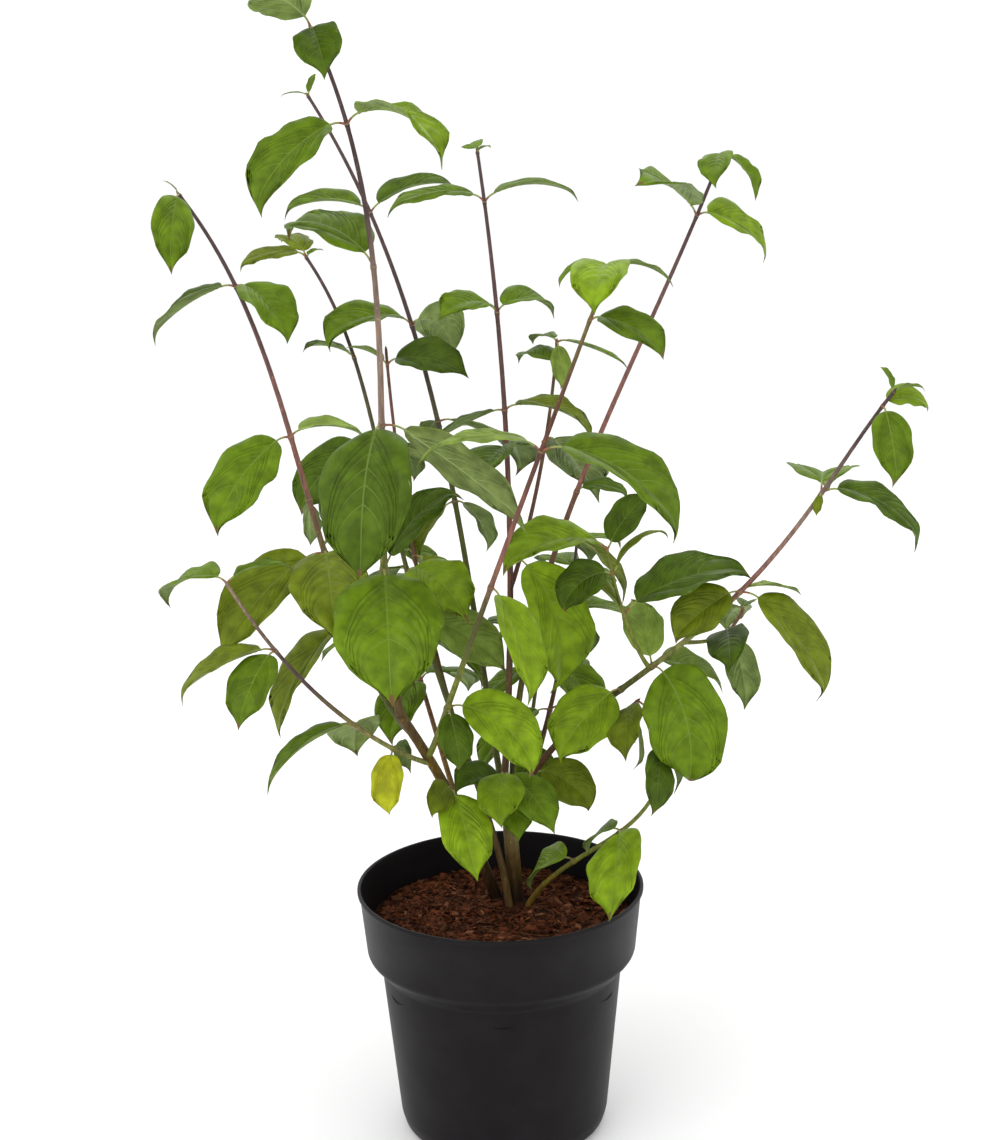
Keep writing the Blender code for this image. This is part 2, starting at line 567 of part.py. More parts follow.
def twig(name, path, limb, start, collection, material=None):
    """The leafy part of a limb, up to the bud that ends it."""
    steps = max(3, round((path(1.0) - path(start)).length / TUBE_STEP))
    shares = [start + (1 - start) * step / steps for step in range(steps + 1)]
    centres = [path(share) for share in shares]
    centres.append(centres[-1] + (path(1.0) - path(0.97)).normalized() * BUD_LENGTH)
    radii = [thickness(limb, share) / 2 for share in shares] + [BUD_THICK / 2]
    return tube(name, centres, radii, collection, material)


def leaf_solid(name, node, leaf, seed, collection):
    points, faces = section_faces(leaf_sections(node, leaf, random.Random(seed), leaf.length * LEAF_THICK))
    mesh = bpy.data.meshes.new(name)
    mesh.from_pydata([point * MM for point in points], [], faces)
    skin = bmesh.new()
    skin.from_mesh(mesh)
    bmesh.ops.recalc_face_normals(skin, faces=skin.faces)
    skin.to_mesh(mesh)
    skin.free()
    return add_object(name, mesh, collection)


def fuse(stem, leaves):
    """Join leaves to their stem for good."""
    boolean = stem.modifiers.new("fuse", "BOOLEAN")
    boolean.operation = "UNION"
    boolean.solver = "EXACT"
    boolean.operand_type = "COLLECTION"
    boolean.collection = leaves
    mesh = evaluated_mesh(stem)
    stem.modifiers.clear()
    stem.data = mesh
    for leaf in list(leaves.objects):
        bpy.data.objects.remove(leaf)
    bpy.data.collections.remove(leaves)


def limbs_and_leaves(parts, cutters):
    """Every limb's bare part, then its leafy part and its twigs as one mass."""
    bark = finish("red_bark", (0.14, 0.03, 0.03), 0.5)
    paths = limb_paths()
    placed, skipped = place_leaves(paths)
    print(len(placed), "leaves placed,", len(skipped), "skipped")
    ground = ground_cutter(cutters)
    room = {}
    for name, limb in LIMBS.items():
        if is_twig(limb):
            continue
        path = paths[name]
        below = room[limb.parent] if limb.parent else ground
        if limb.bare:
            start = 0.0 if limb.parent else -0.03
            bough = limb_tube(name, path, limb, start, limb.bare, parts, bark)
            room[name] = as_cutter(
                limb_tube(name + "_room", path, limb, start, limb.bare, cutters, spread=GAP))
            cut(bough, below)
        if limb.bare < 1:
            leafy_mass(name, paths, placed, below, parts)


def is_twig(limb):
    """Whether a limb grows from the leafy part of its parent, and so is part of the same mass."""
    return limb.parent is not None and limb.share > LIMBS[limb.parent].bare


def leafy_mass(name, paths, placed, below, parts):
    """The leafy upper part of a limb: its stem, its twigs and their leaves as one solid."""
    limb, path = LIMBS[name], paths[name]
    green = finish(name + "_green", (0.14, 0.21, 0.03), 0.5)
    gap = 1.3 * GAP / (path(1.0) - path(0.0)).length
    stem = twig(name + "_leaves", path, limb, limb.bare + gap if limb.bare else 0, parts, green)
    if not limb.bare:
        cut(stem, below)
    growth = bpy.data.collections.new(name + "_growth")
    bpy.context.scene.collection.children.link(growth)
    members = [name]
    for other, twig_limb in LIMBS.items():
        if twig_limb.parent == name and is_twig(twig_limb):
            members.append(other)
            twig(other, paths[other], twig_limb, 0, growth)
    for limb_name, share, seed, leaf in placed:
        if limb_name in members:
            leaf_solid(seed, paths[limb_name](share), leaf, seed, growth)
    fuse(stem, growth)


def ground_cutter(cutters):
    """The space below the ground, where every stem is cut flat."""
    deep = 20.0
    bpy.ops.mesh.primitive_cube_add(size=1, location=(0, 0, (GROUND + GAP - deep / 2) * MM))
    block = as_cutter(bpy.context.object)
    block.scale = (2 * RIM_RADIUS * MM, 2 * RIM_RADIUS * MM, deep * MM)
    block.name = "ground_cutter"
    move_to(block, cutters)
    return block


def main():
    for old in list(bpy.data.objects):
        bpy.data.objects.remove(old)
    parts = bpy.data.collections.new("red_barked_dogwood")
    cutters = bpy.data.collections.new("cutters")
    for collection in (parts, cutters):
        bpy.context.scene.collection.children.link(collection)
    pot(parts, cutters)
    growing_medium(parts)
    bark_mulch(parts)
    limbs_and_leaves(parts, cutters)


if __name__ == "__main__":
    main()
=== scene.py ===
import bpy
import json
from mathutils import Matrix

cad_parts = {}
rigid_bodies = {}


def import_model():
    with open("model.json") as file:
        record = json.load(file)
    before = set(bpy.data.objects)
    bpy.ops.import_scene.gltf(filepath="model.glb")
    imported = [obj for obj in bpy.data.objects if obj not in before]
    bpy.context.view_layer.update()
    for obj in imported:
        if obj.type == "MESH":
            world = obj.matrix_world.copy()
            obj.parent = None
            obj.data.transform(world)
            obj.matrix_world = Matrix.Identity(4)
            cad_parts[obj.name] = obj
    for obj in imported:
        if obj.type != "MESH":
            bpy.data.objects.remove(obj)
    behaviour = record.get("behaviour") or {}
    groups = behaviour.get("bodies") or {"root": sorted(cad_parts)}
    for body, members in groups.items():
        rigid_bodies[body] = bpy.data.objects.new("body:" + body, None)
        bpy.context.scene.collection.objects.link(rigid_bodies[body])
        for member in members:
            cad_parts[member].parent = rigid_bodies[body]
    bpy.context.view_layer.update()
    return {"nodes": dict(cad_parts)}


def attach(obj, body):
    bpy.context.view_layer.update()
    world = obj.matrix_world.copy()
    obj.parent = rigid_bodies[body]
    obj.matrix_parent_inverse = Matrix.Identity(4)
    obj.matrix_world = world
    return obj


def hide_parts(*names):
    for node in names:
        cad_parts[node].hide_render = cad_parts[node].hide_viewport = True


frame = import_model()

"""Red-barked dogwood in a nursery pot: bark, leaves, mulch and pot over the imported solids.

Every leaf and limb grows by the same rule and tables as the solids: millimetres and degrees, with
+Z up, -Y the front and +X the right. A bearing is seen from above: 0 is the right, 90 the back.
"""
import json
import math
import random
from collections import namedtuple

import bpy
import numpy as np
from mathutils import Matrix, Vector, noise
from mathutils.bvhtree import BVHTree

MM = 0.001

# Pot
POT_HEIGHT = 170.0
RIM_RADIUS = 95.0
COLLAR_RADIUS = 89.2
COLLAR_FOOT = 128.0
SHOULDER_RADIUS = 80.0
SHOULDER_FOOT = 114.0
BODY_FOOT_RADIUS = 70.0
BASE_RADIUS = 61.0
WALL = 1.6
LIP = 2.6
POT_SIDES = 144
RIBS = 6
RIB_HEIGHT = 106.0
RIB_SPAN = 14.0
RIB_PROUD = 0.5

# Mulch
GROUND = 145.0
GROUND_SIDES = 96
GROUND_RINGS = 40
GROUND_RELIEF = 2.2
MOUND = 4.0
MOUND_REACH = 34.0
CHIPS = 3200
CHIP_LENGTH = (3.0, 11.0)
FIBRES = 420
FIBRE_LENGTH = (7.0, 22.0)
FOOT_CLEAR = 5.0

# Habit of a leaf, as shares of its length and angles
LEAF_WIDTH = 0.58
LEAF_THICK = 0.017
PETIOLE = 0.15
PETIOLE_THICK = 1.5
PETIOLE_FOOT = 0.3
PETIOLE_RISE = 45.0
STEEPEST_PETIOLE = 60.0
ARCH = 45.0
ARCH_JITTER = 4.0
TIP_CURL = 25.0
CURL_START = 0.8
FOLD = 16.0
SWAY = 5.0
PETIOLE_STEPS = 6
BLADE_STEPS = 24
OUTLINE = ((0, 0.05), (0.12, 0.60), (0.42, 1.0), (0.74, 0.72), (1, 0))
GUARD_THICK = 2.4
GUARD_EDGE = 0.8
NUDGES = ((0, 0), (8, 0), (-8, 0), (0, 8), (0, -8), (12, 12), (-12, 12), (12, -12), (-12, -12),
          (20, 0), (-20, 0), (0, 20), (0, -20), (26, 14), (-26, 14), (34, 0), (-34, 0))

# Habit of the pairs that the rule places by itself
RULE_DROOP = (48.0, 12.0)
RULE_LENGTH = 74.0
RULE_JITTER = 9.0

# Habit of a limb
FLARE = 0.22
CROOK_REACH = 6.0
BUD_LENGTH = 3.0
BUD_THICK = 0.9
TUBE_STEP = 38.0

Leaf = namedtuple("Leaf", "bearing droop length roll wide tone arch", defaults=(0, 1.0, "mid", ARCH))
Limb = namedtuple("Limb", "parent share points thick bare pairs", defaults=((),))


def rule(share, bearing, scale=1.0, tone="mid"):
    """A pair that the rule fills in: only where it sits and which way its first leaf points."""
    return share, bearing, scale, tone


# Each limb: its parent and where it leaves it, or its foot on the ground, then the points it runs
# through up to its tip, its thickness at foot and tip, and the share below which it is bare. A limb
# that is bare to 0 has no bough of its own: its leaves begin at the parent's bark, or, where the
# parent is leafy there, it is one of the parent's twigs. Each pair of leaves: its share of the limb,
# then the leaves.
LIMBS = {
    "main_stem": Limb(None, (10, 22, 145), ((8, 18, 190), (4, 15, 236)), (11.0, 8.5), 1),
    "left_stem": Limb(None, (-2, 28, 145), ((-31, -2, 231), (-61, -35, 299)), (7.6, 6.2), 1),
    "olive_stem": Limb(None, (6, 10, 145), ((-7, 14, 210), (-37, 25, 303), (-63, 50, 395), (-122, 105, 576)),
                       (4.4, 2.2), 0.30, (
        (0.45, Leaf(350, 35, 60, 40, 1.1, "pale", 30), Leaf(190, 40, 52, 0, 1.0, "dark")),
        (0.52, Leaf(305, 20, 70, 20, 1.0, "bright", 50), Leaf(125, 30, 48, 0, 1.0, "dark")),
        (0.70, Leaf(195, 42, 66, -45, 1.0, "dark", 60), Leaf(355, 25, 66, -10, 0.9, "olive", 20)),
        (0.84, Leaf(195, -8, 34, 0, 1.0, "dark")),
        (1.0, Leaf(192, 12, 44, -15, 1.0, "olive", 50), Leaf(120, -12, 38, 0, 1.1, "olive"),
         Leaf(40, -10, 14)))),
    "low_stem": Limb(None, (17, 12, 145),
                     ((37, 3, 174), (90, -15, 220), (106, -20, 268)), (3.8, 2.2), 0.28, (
        (0.33, Leaf(130, 42, 54, -30, 1.0, "bright")),
        (0.58, Leaf(262, 36, 68, 35, 1.15, "bright", 50), Leaf(125, 40, 42, -20)),
        (1.0, Leaf(260, 45, 46, -50, 1.0, "dark"), Leaf(90, 60, 46, -60, 1.0, "dark")))),
    "tall_cane": Limb("left_stem", 1.0,
                      ((-67, -55, 400), (-65, -60, 520), (-100, -40, 718)), (5.4, 2.2), 0.19, (
        (0.24, Leaf(275, 45, 92, 0, 1.25, "mid", 40), Leaf(5, -42, 62, 26, 0.95, "dark")),
        (0.45, Leaf(260, 60, 102, 10, 1.0, "dark", 70), Leaf(355, 38, 96, -55, 0.62, "olive", 10)),
        (0.67, Leaf(140, -10, 74, -12, 1.0, "mid", 60)),
        (0.865, Leaf(208, 44, 73, -28, 0.88), Leaf(330, 28, 74, -6, 0.9, "bright", 90)),
        (1.0, Leaf(245, -8, 60, 40, 1.0, "bright"), Leaf(285, 40, 44, 20, 1.15, "dark", 30)))),
    "left_cane": Limb("left_stem", 0.90,
                      ((-102, -22, 396), (-128, -8, 489), (-191, 20, 622)), (4.6, 2.2), 0.13, (
        (0.21, Leaf(188, 60, 80, -15, 0.85, "olive")),
        (0.345, Leaf(278, 30, 78, 10, 1.1, "olive", 40), Leaf(205, 44, 84, -30, 0.88, "olive", 30)),
        (0.44, Leaf(95, 100, 28, 40, 1.0, "dark", 40)),
        (0.55, Leaf(220, 47, 74, -35, 0.92, "mid", 40), Leaf(20, 10, 46, 5, 1.0, "pale", 50)),
        (0.82, Leaf(176, 35, 60, -5, 1.0, "dark", 30), Leaf(316, 38, 55, 8, 1.1, "mid", 55)),
        (1.0, Leaf(268, 55, 56, -30, 0.85, "mid", 50), Leaf(185, -40, 12)))),
    "front_cane": Limb("left_stem", 0.77, ((2, -90, 408), (70, -74, 579)), (4.2, 2.2), 0.10, (
        (0.145, Leaf(350, 45, 68, 40, 1.0, "bright", 70), Leaf(290, 60, 38, 10, 1.0, "dark", 30)),
        (0.43, Leaf(300, 55, 70, -20, 0.9, "bright", 30)),
        (0.69, Leaf(180, 10, 70, 0, 0.85, "pale", 55), Leaf(345, 36, 92, 14, 0.95, "mid", 55)),
        (0.915, Leaf(325, 25, 50, 20, 1.0, "mid", 50)),
        (1.0, Leaf(257, 25, 54, 0, 1.15, "bright", 50), Leaf(185, 24, 32, -10, 0.7, "mid", 80),
         Leaf(5, 22, 38, 0, 0.8, "mid", 60)))),
    "centre_cane": Limb("main_stem", 1.0, ((10, 50, 440), (-6, 95, 643)), (5.0, 2.2), 0.33, (
        (0.36, Leaf(330, 75, 92, 20, 1.0, "bright", 60)),
        (0.53, Leaf(252, 15, 58, 10, 1.1, "dark", 20), Leaf(60, 30, 60, 20, 1.0, "dark", 50)),
        (0.59, Leaf(190, 25, 50, 10, 1.0, "dark", 10), Leaf(345, 20, 60, 0, 1.0, "olive", 55)),
        (0.745, Leaf(225, 5, 50, -20, 1.0, "mid", 60), Leaf(30, 15, 46, 15, 1.1, "mid", 90)),
        (0.92, Leaf(185, 10, 62, -10, 1.0, "mid", 50), Leaf(5, 4, 60, 0, 1.0, "mid", 60)),
        (1.0, Leaf(105, 0, 26, -20), Leaf(315, -10, 12)))),
    "back_cane": Limb("main_stem", 0.80,
                      ((-13, 55, 343), (-43, 100, 496), (-121, 155, 681)), (4.6, 2.2), 0.18, (
        (0.24, Leaf(200, 35, 60, 0, 1.0, "olive"), Leaf(20, 30, 60, 0, 1.0, "dark")),
        (0.41, Leaf(25, 62, 42, -15, 1.0, "dark", 55), Leaf(205, 40, 50, 0, 1.0, "olive")),
        (0.52, Leaf(115, 45, 28, 20, 1.0, "dark"), Leaf(10, 28, 66, -10, 1.0, "mid", 20)),
        (0.655, Leaf(208, 10, 70, -15, 0.9, "mid", 50), Leaf(55, 35, 54, -40, 1.2, "pale", 80)),
        (0.82, Leaf(180, 5, 57, -12), Leaf(20, -10, 60, 12, 0.9, "dark", 50)),
        (1.0, Leaf(185, 5, 18), Leaf(75, -50, 20, -20, 0.6)))),
    "right_cane": Limb("main_stem", 0.84,
                       ((39, 38, 389), (86, 52, 498), (152, 80, 638)), (4.6, 2.2), 0.24, (
        (0.30, Leaf(25, 50, 54, -10, 1.0, "dark", 40)),
        (0.40, Leaf(350, 50, 58, 0, 1.0, "olive", 50), Leaf(40, 40, 38, 0, 1.0, "dark", 40)),
        (0.47, Leaf(355, 12, 34, 15, 1.0, "dark", 60)),
        (0.905, Leaf(235, -14, 68, -20, 1.0, "mid", 40), Leaf(28, 33, 62, 38, 1.0, "bright", 50)),
        (1.0, Leaf(255, 30, 40, 10, 1.0, "mid", 40), Leaf(330, 55, 36, 0, 1.0, "mid", 60)))),
    "far_right_cane": Limb("main_stem", 0.74,
                           ((40, 10, 268), (100, -5, 321), (169, -16, 387), (246, -30, 498)),
                           (4.8, 2.2), 0.07, (
        (0.08, Leaf(333, 33, 46, 45, 1.15, "olive", 70)),
        (0.22, Leaf(80, 30, 56, 0, 1.0, "dark")),
        (0.31, Leaf(218, 38, 60, -30, 1.2, "bright", 30)),
        (0.38, Leaf(300, 70, 84, 40, 1.1, "mid", 90), Leaf(20, 30, 54, 20, 1.0, "pale", 50),
         Leaf(105, -40, 48, -10, 1.0, "pale", 30)),
        (0.58, Leaf(198, 35, 49, -35, 1.25, "olive", 30), Leaf(345, 55, 82, 20, 0.9, "olive", 40),
         Leaf(5, 10, 38, -10, 1.0, "pale", 40)),
        (0.795, Leaf(354, 36, 70, 15, 1.0, "dark", 60),
         Leaf(80, 14, 72, 0, 1.1, "mid", 50), Leaf(240, 60, 14, 0, 0.8, "olive", 30)),
        (0.97, Leaf(275, 55, 51, 10, 0.85, "mid", 30), Leaf(10, 15, 32, 30, 1.2, "bright", 90)),
        (1.0, Leaf(155, -60, 16, -10), Leaf(340, 0, 18)))),
    "inner_cane": Limb("olive_stem", 0.26, ((-46, 45, 349), (-70, 95, 514)), (3.4, 2.0), 0.34, (
        (0.48, Leaf(302, 35, 50, 0, 1.0, "olive"), Leaf(122, 25, 50, 0, 1.0, "dark")),
        (0.77, Leaf(190, 38, 75, 10, 1.0, "dark", 20), Leaf(60, 60, 36, 0, 1.1, "dark", 50)),
        (0.963, Leaf(335, 10, 56, 35, 1.0, "dark", 40), Leaf(185, -10, 28, 10, 1.0, "mid", 40)))),
    "short_cane": Limb("centre_cane", 0.31, ((35, 75, 452), (45, 105, 516)), (3.2, 2.0), 0.45, (
        (0.60, Leaf(60, 40, 80, -10, 0.9, "dark", 20)),
        (0.90, Leaf(125, 3, 40, -10, 1.0, "mid", 50)),
        (1.0, Leaf(125, 10, 28, 0, 1.0, "mid", 50), Leaf(342, 22, 48, -10, 1.0, "mid", 20),
         Leaf(280, 62, 32, 10, 0.75, "pale", 30)))),
    "low_left_shoot": Limb("left_stem", 0.73, ((-119, -65, 334), (-161, -70, 395)), (3.4, 2.0), 0.10, (
        (0.16, Leaf(258, 70, 40, 0, 0.95, "yellow", 50), Leaf(75, 45, 40, -60, 0.6, "mid", 50)),
        (0.33, Leaf(190, 38, 66, 4, 0.8), Leaf(98, 40, 56, -10, 1.1, "pale", 40)),
        (0.735, Leaf(180, 28, 62, -2, 1.0, "olive", 30), Leaf(230, 36, 52, -5, 1.05)),
        (1.0, Leaf(150, 26, 54, -10, 1.0, "mid", 60), Leaf(20, -3, 40, 0, 0.75, "mid", 50)))),
    "middle_shoot": Limb("far_right_cane", 0.375, ((84, -15, 353), (71, -20, 400)), (2.8, 2.0), 0, (
        (0.49, Leaf(185, -55, 42, -10, 1.0, "olive", 40), Leaf(8, -4, 80, 14, 1.05, "dark", 40)),
        (0.81, Leaf(200, 45, 43, -45, 1.05, "dark", 75), Leaf(20, -25, 46, -10, 0.6, "olive", 80)),
        (1.0, Leaf(205, 8, 72, -15, 1.0, "bright", 50), Leaf(8, -50, 40, 50, 1.0, "dark", 30)))),
    "hooked_shoot": Limb("far_right_cane", 0.16, ((80, 0, 286), (91, -5, 296)), (2.8, 2.0), 0, (
        (0.85, Leaf(265, 25, 50, 30, 0.95, "olive"), Leaf(50, 82, 44, 50, 1.0, "pale")),
        (1.0, Leaf(310, 75, 58, -40, 1.0, "dark", 20)))),
    "right_shoot": Limb("far_right_cane", 0.45, ((147, 2, 338), (161, 15, 350)), (2.6, 2.0), 0, (
        (0.62, Leaf(265, 15, 50, 20, 1.0, "dark", 30), Leaf(40, 75, 54, -20, 0.8, "pale", 20)),
        (1.0, Leaf(100, 35, 44, 10, 1.0, "pale", 40), Leaf(70, 10, 24)))),
    "left_spur": Limb("left_stem", 0.52, ((-29, -14, 238), (-30, -22, 245)), (2.6, 2.0), 0, (
        (1.0, Leaf(287, 48, 60, 0, 1.0, "bright", 30), Leaf(255, 15, 34, -50, 1.0, "olive", 40)),)),
    "main_spur": Limb("main_stem", 0.93, ((5, 0, 239), (3, -16, 252)), (2.6, 2.0), 0, (
        (0.62, Leaf(215, 0, 40, -15, 1.2, "dark", 50), Leaf(287, 50, 38, 10, 1.1, "mid", 30)),
        (1.0, Leaf(258, 28, 46, 0, 1.2, "bright", 40), Leaf(315, 30, 50, 10, 1.1, "mid", 40)))),
    "back_right_cane": Limb("main_stem", 0.58, ((45, 115, 290), (60, 175, 360)), (4.2, 2.2), 0.30, (
        rule(0.42, 20), rule(0.58, 110), rule(0.76, 20), rule(0.90, 110, 0.9), rule(1.0, 20, 0.6))),
    "back_left_cane": Limb("left_stem", 0.40, ((-60, 105, 305), (-88, 165, 385)), (4.0, 2.2), 0.35, (
        rule(0.46, 60), rule(0.62, 150), rule(0.78, 60), rule(0.90, 150, 0.9), rule(1.0, 60, 0.6))),
    "back_low_shoot": Limb("main_stem", 0.42, ((25, 110, 255), (40, 170, 330)), (3.6, 2.2), 0.30, (
        rule(0.42, 100, 0.85), rule(0.70, 10), rule(1.0, 100, 0.7))),
}


def limb_path(points, crook):
    """The smooth curve through a limb's points, by the share of its way."""
    steps = [(after - here).length for here, after in zip(points, points[1:])]
    length = sum(steps)
    knots = [sum(steps[:number]) / length for number in range(len(points))]

    def at(share):
        place = crook * (1 - share) * (1 - math.exp(-max(share, 0) * length / CROOK_REACH))
        for point, knot in zip(points, knots):
            weight = 1.0
            for other in knots:
                if other != knot:
                    weight *= (share - other) / (knot - other)
            place = place + point * weight
        return place

    return at


def limb_paths():
    """Every limb's curve. A side limb starts on its parent's and swings out past the parent's bark."""
    paths = {}
    for name, limb in LIMBS.items():
        points = [Vector(point) for point in limb.points]
        if limb.parent:
            foot = paths[limb.parent](limb.share)
            outward = ((points[0] - foot) * Vector((1, 1, 0))).normalized()
            crook = outward * (thickness(LIMBS[limb.parent], limb.share) / 2 if limb.share < 1 else 0)
        else:
            foot, crook = Vector(limb.share), Vector()
        paths[name] = limb_path([foot] + points, crook)
    return paths


def thickness(limb, share):
    """A limb's diameter: an even taper, with a flare where it stands in the ground."""
    foot, tip = limb.thick
    flare = 0 if limb.parent else FLARE * math.exp(-max(share, 0) * 14)
    return (foot + (tip - foot) * share) * (1 + flare)


def leaf_spine(leaf, chance):
    """The points and slopes down a petiole and its midrib, from the node."""
    arch = leaf.arch + chance.uniform(-ARCH_JITTER, ARCH_JITTER)
    sway = chance.uniform(-SWAY, SWAY)
    base = arch / 2 - leaf.droop
    start = min(base + PETIOLE_RISE, STEEPEST_PETIOLE)
    point = Vector((0, 0, 0))
    spine = [(point.copy(), start, leaf.bearing)]
    for step in range(PETIOLE_STEPS):
        slope = start + (base - start) * (step + 0.5) / PETIOLE_STEPS
        point += heading(leaf.bearing, slope) * leaf.length * PETIOLE / PETIOLE_STEPS
        spine.append((point.copy(), slope, leaf.bearing))
    for step in range(BLADE_STEPS):
        along = (step + 0.5) / BLADE_STEPS
        curl = TIP_CURL * max(0, along - CURL_START) / (1 - CURL_START)
        slope = base - arch * along - curl
        bearing = leaf.bearing + sway * along
        point += heading(bearing, slope) * leaf.length / BLADE_STEPS
        spine.append((point.copy(), slope, bearing))
    return spine


def heading(bearing, slope):
    """A unit vector by its bearing and its slope above the horizontal."""
    across, up = math.radians(bearing), math.radians(slope)
    return Vector((math.cos(across) * math.cos(up), math.sin(across) * math.cos(up), math.sin(up)))


def blade_axes(bearing, slope, roll):
    """A blade's sideways and upward axes at one point of its midrib."""
    along = heading(bearing, slope)
    side = heading(bearing + 90, 0)
    turn = Matrix.Rotation(math.radians(roll), 3, along)
    return turn @ side, turn @ along.cross(side)


def leaf_sections(node, leaf, chance, thick, edge=0.0):
    """Four-cornered sections of a leaf: its petiole, then its blade folded along the midrib."""
    spine = leaf_spine(leaf, chance)
    fold = math.radians(FOLD + chance.uniform(-5, 5))
    sections = []
    for step, reach in ((0, PETIOLE_THICK / 4), (PETIOLE_STEPS // 2, PETIOLE_THICK / 2 + edge / 2)):
        point, slope, bearing = spine[step]
        side, up = blade_axes(bearing, slope, leaf.roll)
        centre = node + point + heading(bearing, slope) * PETIOLE_FOOT
        sections.append([centre + way * reach for way in (side, up, -side, -up)])
    for along, width in OUTLINE:
        point, slope, bearing = spine[PETIOLE_STEPS + round(along * BLADE_STEPS)]
        side, up = blade_axes(bearing, slope, leaf.roll)
        half = leaf.length * LEAF_WIDTH * leaf.wide * width / 2
        half = max(half + edge, PETIOLE_THICK / 2) if width else 0
        raised = up * math.sin(fold) * half
        across = side * math.cos(fold) * half
        body = max(thick, PETIOLE_THICK) if along < 0.1 else thick
        centre = node + point
        if width:
            sections.append([centre + across + raised, centre + up * body / 2,
                             centre - across + raised, centre - up * body / 2])
        else:
            sections.append([centre])
    return sections


def section_faces(sections):
    """The points and faces of a closed skin over four-cornered sections that end in a point."""
    points = [point for section in sections for point in section]
    faces = [(0, 1, 2, 3)]
    first = 0
    for here, after in zip(sections, sections[1:]):
        second = first + len(here)
        for corner in range(4):
            other = (corner + 1) % 4
            if len(after) == 1:
                faces.append((first + corner, second, first + other))
            else:
                faces.append((first + corner, second + corner, second + other, first + other))
        first = second
    return points, faces


def guard_tree(sections):
    """A tree of the space that a leaf keeps to itself, over some of its sections."""
    points, faces = section_faces(sections)
    return BVHTree.FromPolygons(points, faces)


def tube_tree(path, limb, start=0.0):
    """A tree of a limb's own space."""
    rings = []
    steps, sides = 16, 8
    for step in range(steps + 1):
        share = start + (1 - start) * step / steps
        along = (path(min(share + 0.01, 1.0)) - path(min(share, 0.99))).normalized()
        side = along.orthogonal().normalized()
        other = along.cross(side)
        reach = thickness(limb, share) / 2 + 0.5
        angles = [math.tau * turn / sides for turn in range(sides)]
        rings.append([path(share) + (side * math.cos(angle) + other * math.sin(angle)) * reach
                      for angle in angles])
    points = [point for ring in rings for point in ring]
    faces = [(sides * ring + corner, sides * ring + (corner + 1) % sides,
              sides * (ring + 1) + (corner + 1) % sides, sides * (ring + 1) + corner)
             for ring in range(steps) for corner in range(sides)]
    return BVHTree.FromPolygons(points, faces)


def ruled_pair(share, bearing, scale, tone, chance):
    """The two leaves of a pair that the rule fills in."""
    droop = RULE_DROOP[0] + (RULE_DROOP[1] - RULE_DROOP[0]) * share
    length = RULE_LENGTH * scale * (1 - 0.25 * share)
    leaves = []
    for turn in (0, 180):
        leaves.append(Leaf(bearing + turn + chance.uniform(-RULE_JITTER, RULE_JITTER),
                           droop + chance.uniform(-RULE_JITTER, RULE_JITTER),
                           length * chance.uniform(0.9, 1.08), 0, 1.0, tone))
    return leaves


def leaf_plan():
    """Every leaf that is asked for, those with their own values first: limb, share, seed, leaf."""
    chosen, filled = [], []
    for name, limb in LIMBS.items():
        for number, pair in enumerate(limb.pairs):
            seed = f"{name} {number}"
            if isinstance(pair[1], Leaf):
                chosen += [(name, pair[0], f"{seed} {side}", leaf) for side, leaf in enumerate(pair[1:])]
            else:
                leaves = ruled_pair(*pair, random.Random(seed))
                filled += [(name, pair[0], f"{seed} {side}", leaf) for side, leaf in enumerate(leaves)]
    return chosen + filled


def place_leaves(paths):
    """Turn each leaf a little until it is clear of the other limbs and leaves, or skip it.

    Only the foot of its blade may touch its own limb.
    """
    limb_trees = {name: tube_tree(paths[name], limb) for name, limb in LIMBS.items()}
    taken, placed, skipped = [], [], []
    for name, share, seed, leaf in leaf_plan():
        node = paths[name](share)
        for turn, dip in NUDGES:
            posed = leaf._replace(bearing=leaf.bearing + turn, droop=leaf.droop + dip)
            sections = leaf_sections(node, posed, random.Random(seed), GUARD_THICK, GUARD_EDGE)
            tree, blade = guard_tree(sections[1:]), guard_tree(sections[3:])
            lowest = min(point.z for section in sections for point in section)
            free = lowest > GROUND + 3 and not any(tree.overlap(other) for other in taken)
            if free and not any((blade if other == name else tree).overlap(limb_tree)
                                for other, limb_tree in limb_trees.items()):
                taken.append(tree)
                placed.append((name, share, seed, posed))
                break
        else:
            skipped.append((name, share, leaf))
    return placed, skipped


# Fine shape of a leaf, as shares of its length
VEIN_PAIRS = 6
FIRST_VEIN = (0.03, 0.80)
LAST_VEIN = (0.53, 0.985)
VEIN_SPREAD = (1.2, 0.8)
VEIN_BEND = 0.45
VEIN_HALF = 0.0038
VEIN_END = 0.88
VEIN_RELIEF = 0.005
MIDRIB_HALF = 0.0075
MIDRIB_RELIEF = 0.010
QUILT = 0.011
WAVE = 0.017
MARGIN_SWAY = 0.04
BLADE_THICK = 0.010
MARGIN_THICK = 0.0045
ROUND_SHOULDER = 0.6
TIP_START = 0.72
TIP_PINCH = 0.84
TIP_HOOK = 0.05
BASE_ROWS = 16
GAP_ROWS = 3
TIP_ROWS = (0.12, 0.24, 0.36, 0.48, 0.6, 0.7, 0.79, 0.87, 0.94)
COLUMNS = (0.0, 0.1, 0.22, 0.36, 0.52, 0.68, 0.82, 0.92, 1.0)
PETIOLE_SIDES = 7
PETIOLE_SWELL = 1.5
RED_STEPS = 3

# Fine shape of a limb
RING_STEP = 2.2
NODE_SWELL = 0.26
NODE_REACH = 1.7
COLLAR_SWELL = 0.35
COLLAR_REACH = 4.0
BARK_RELIEF = 0.05
SUNK = 2.0

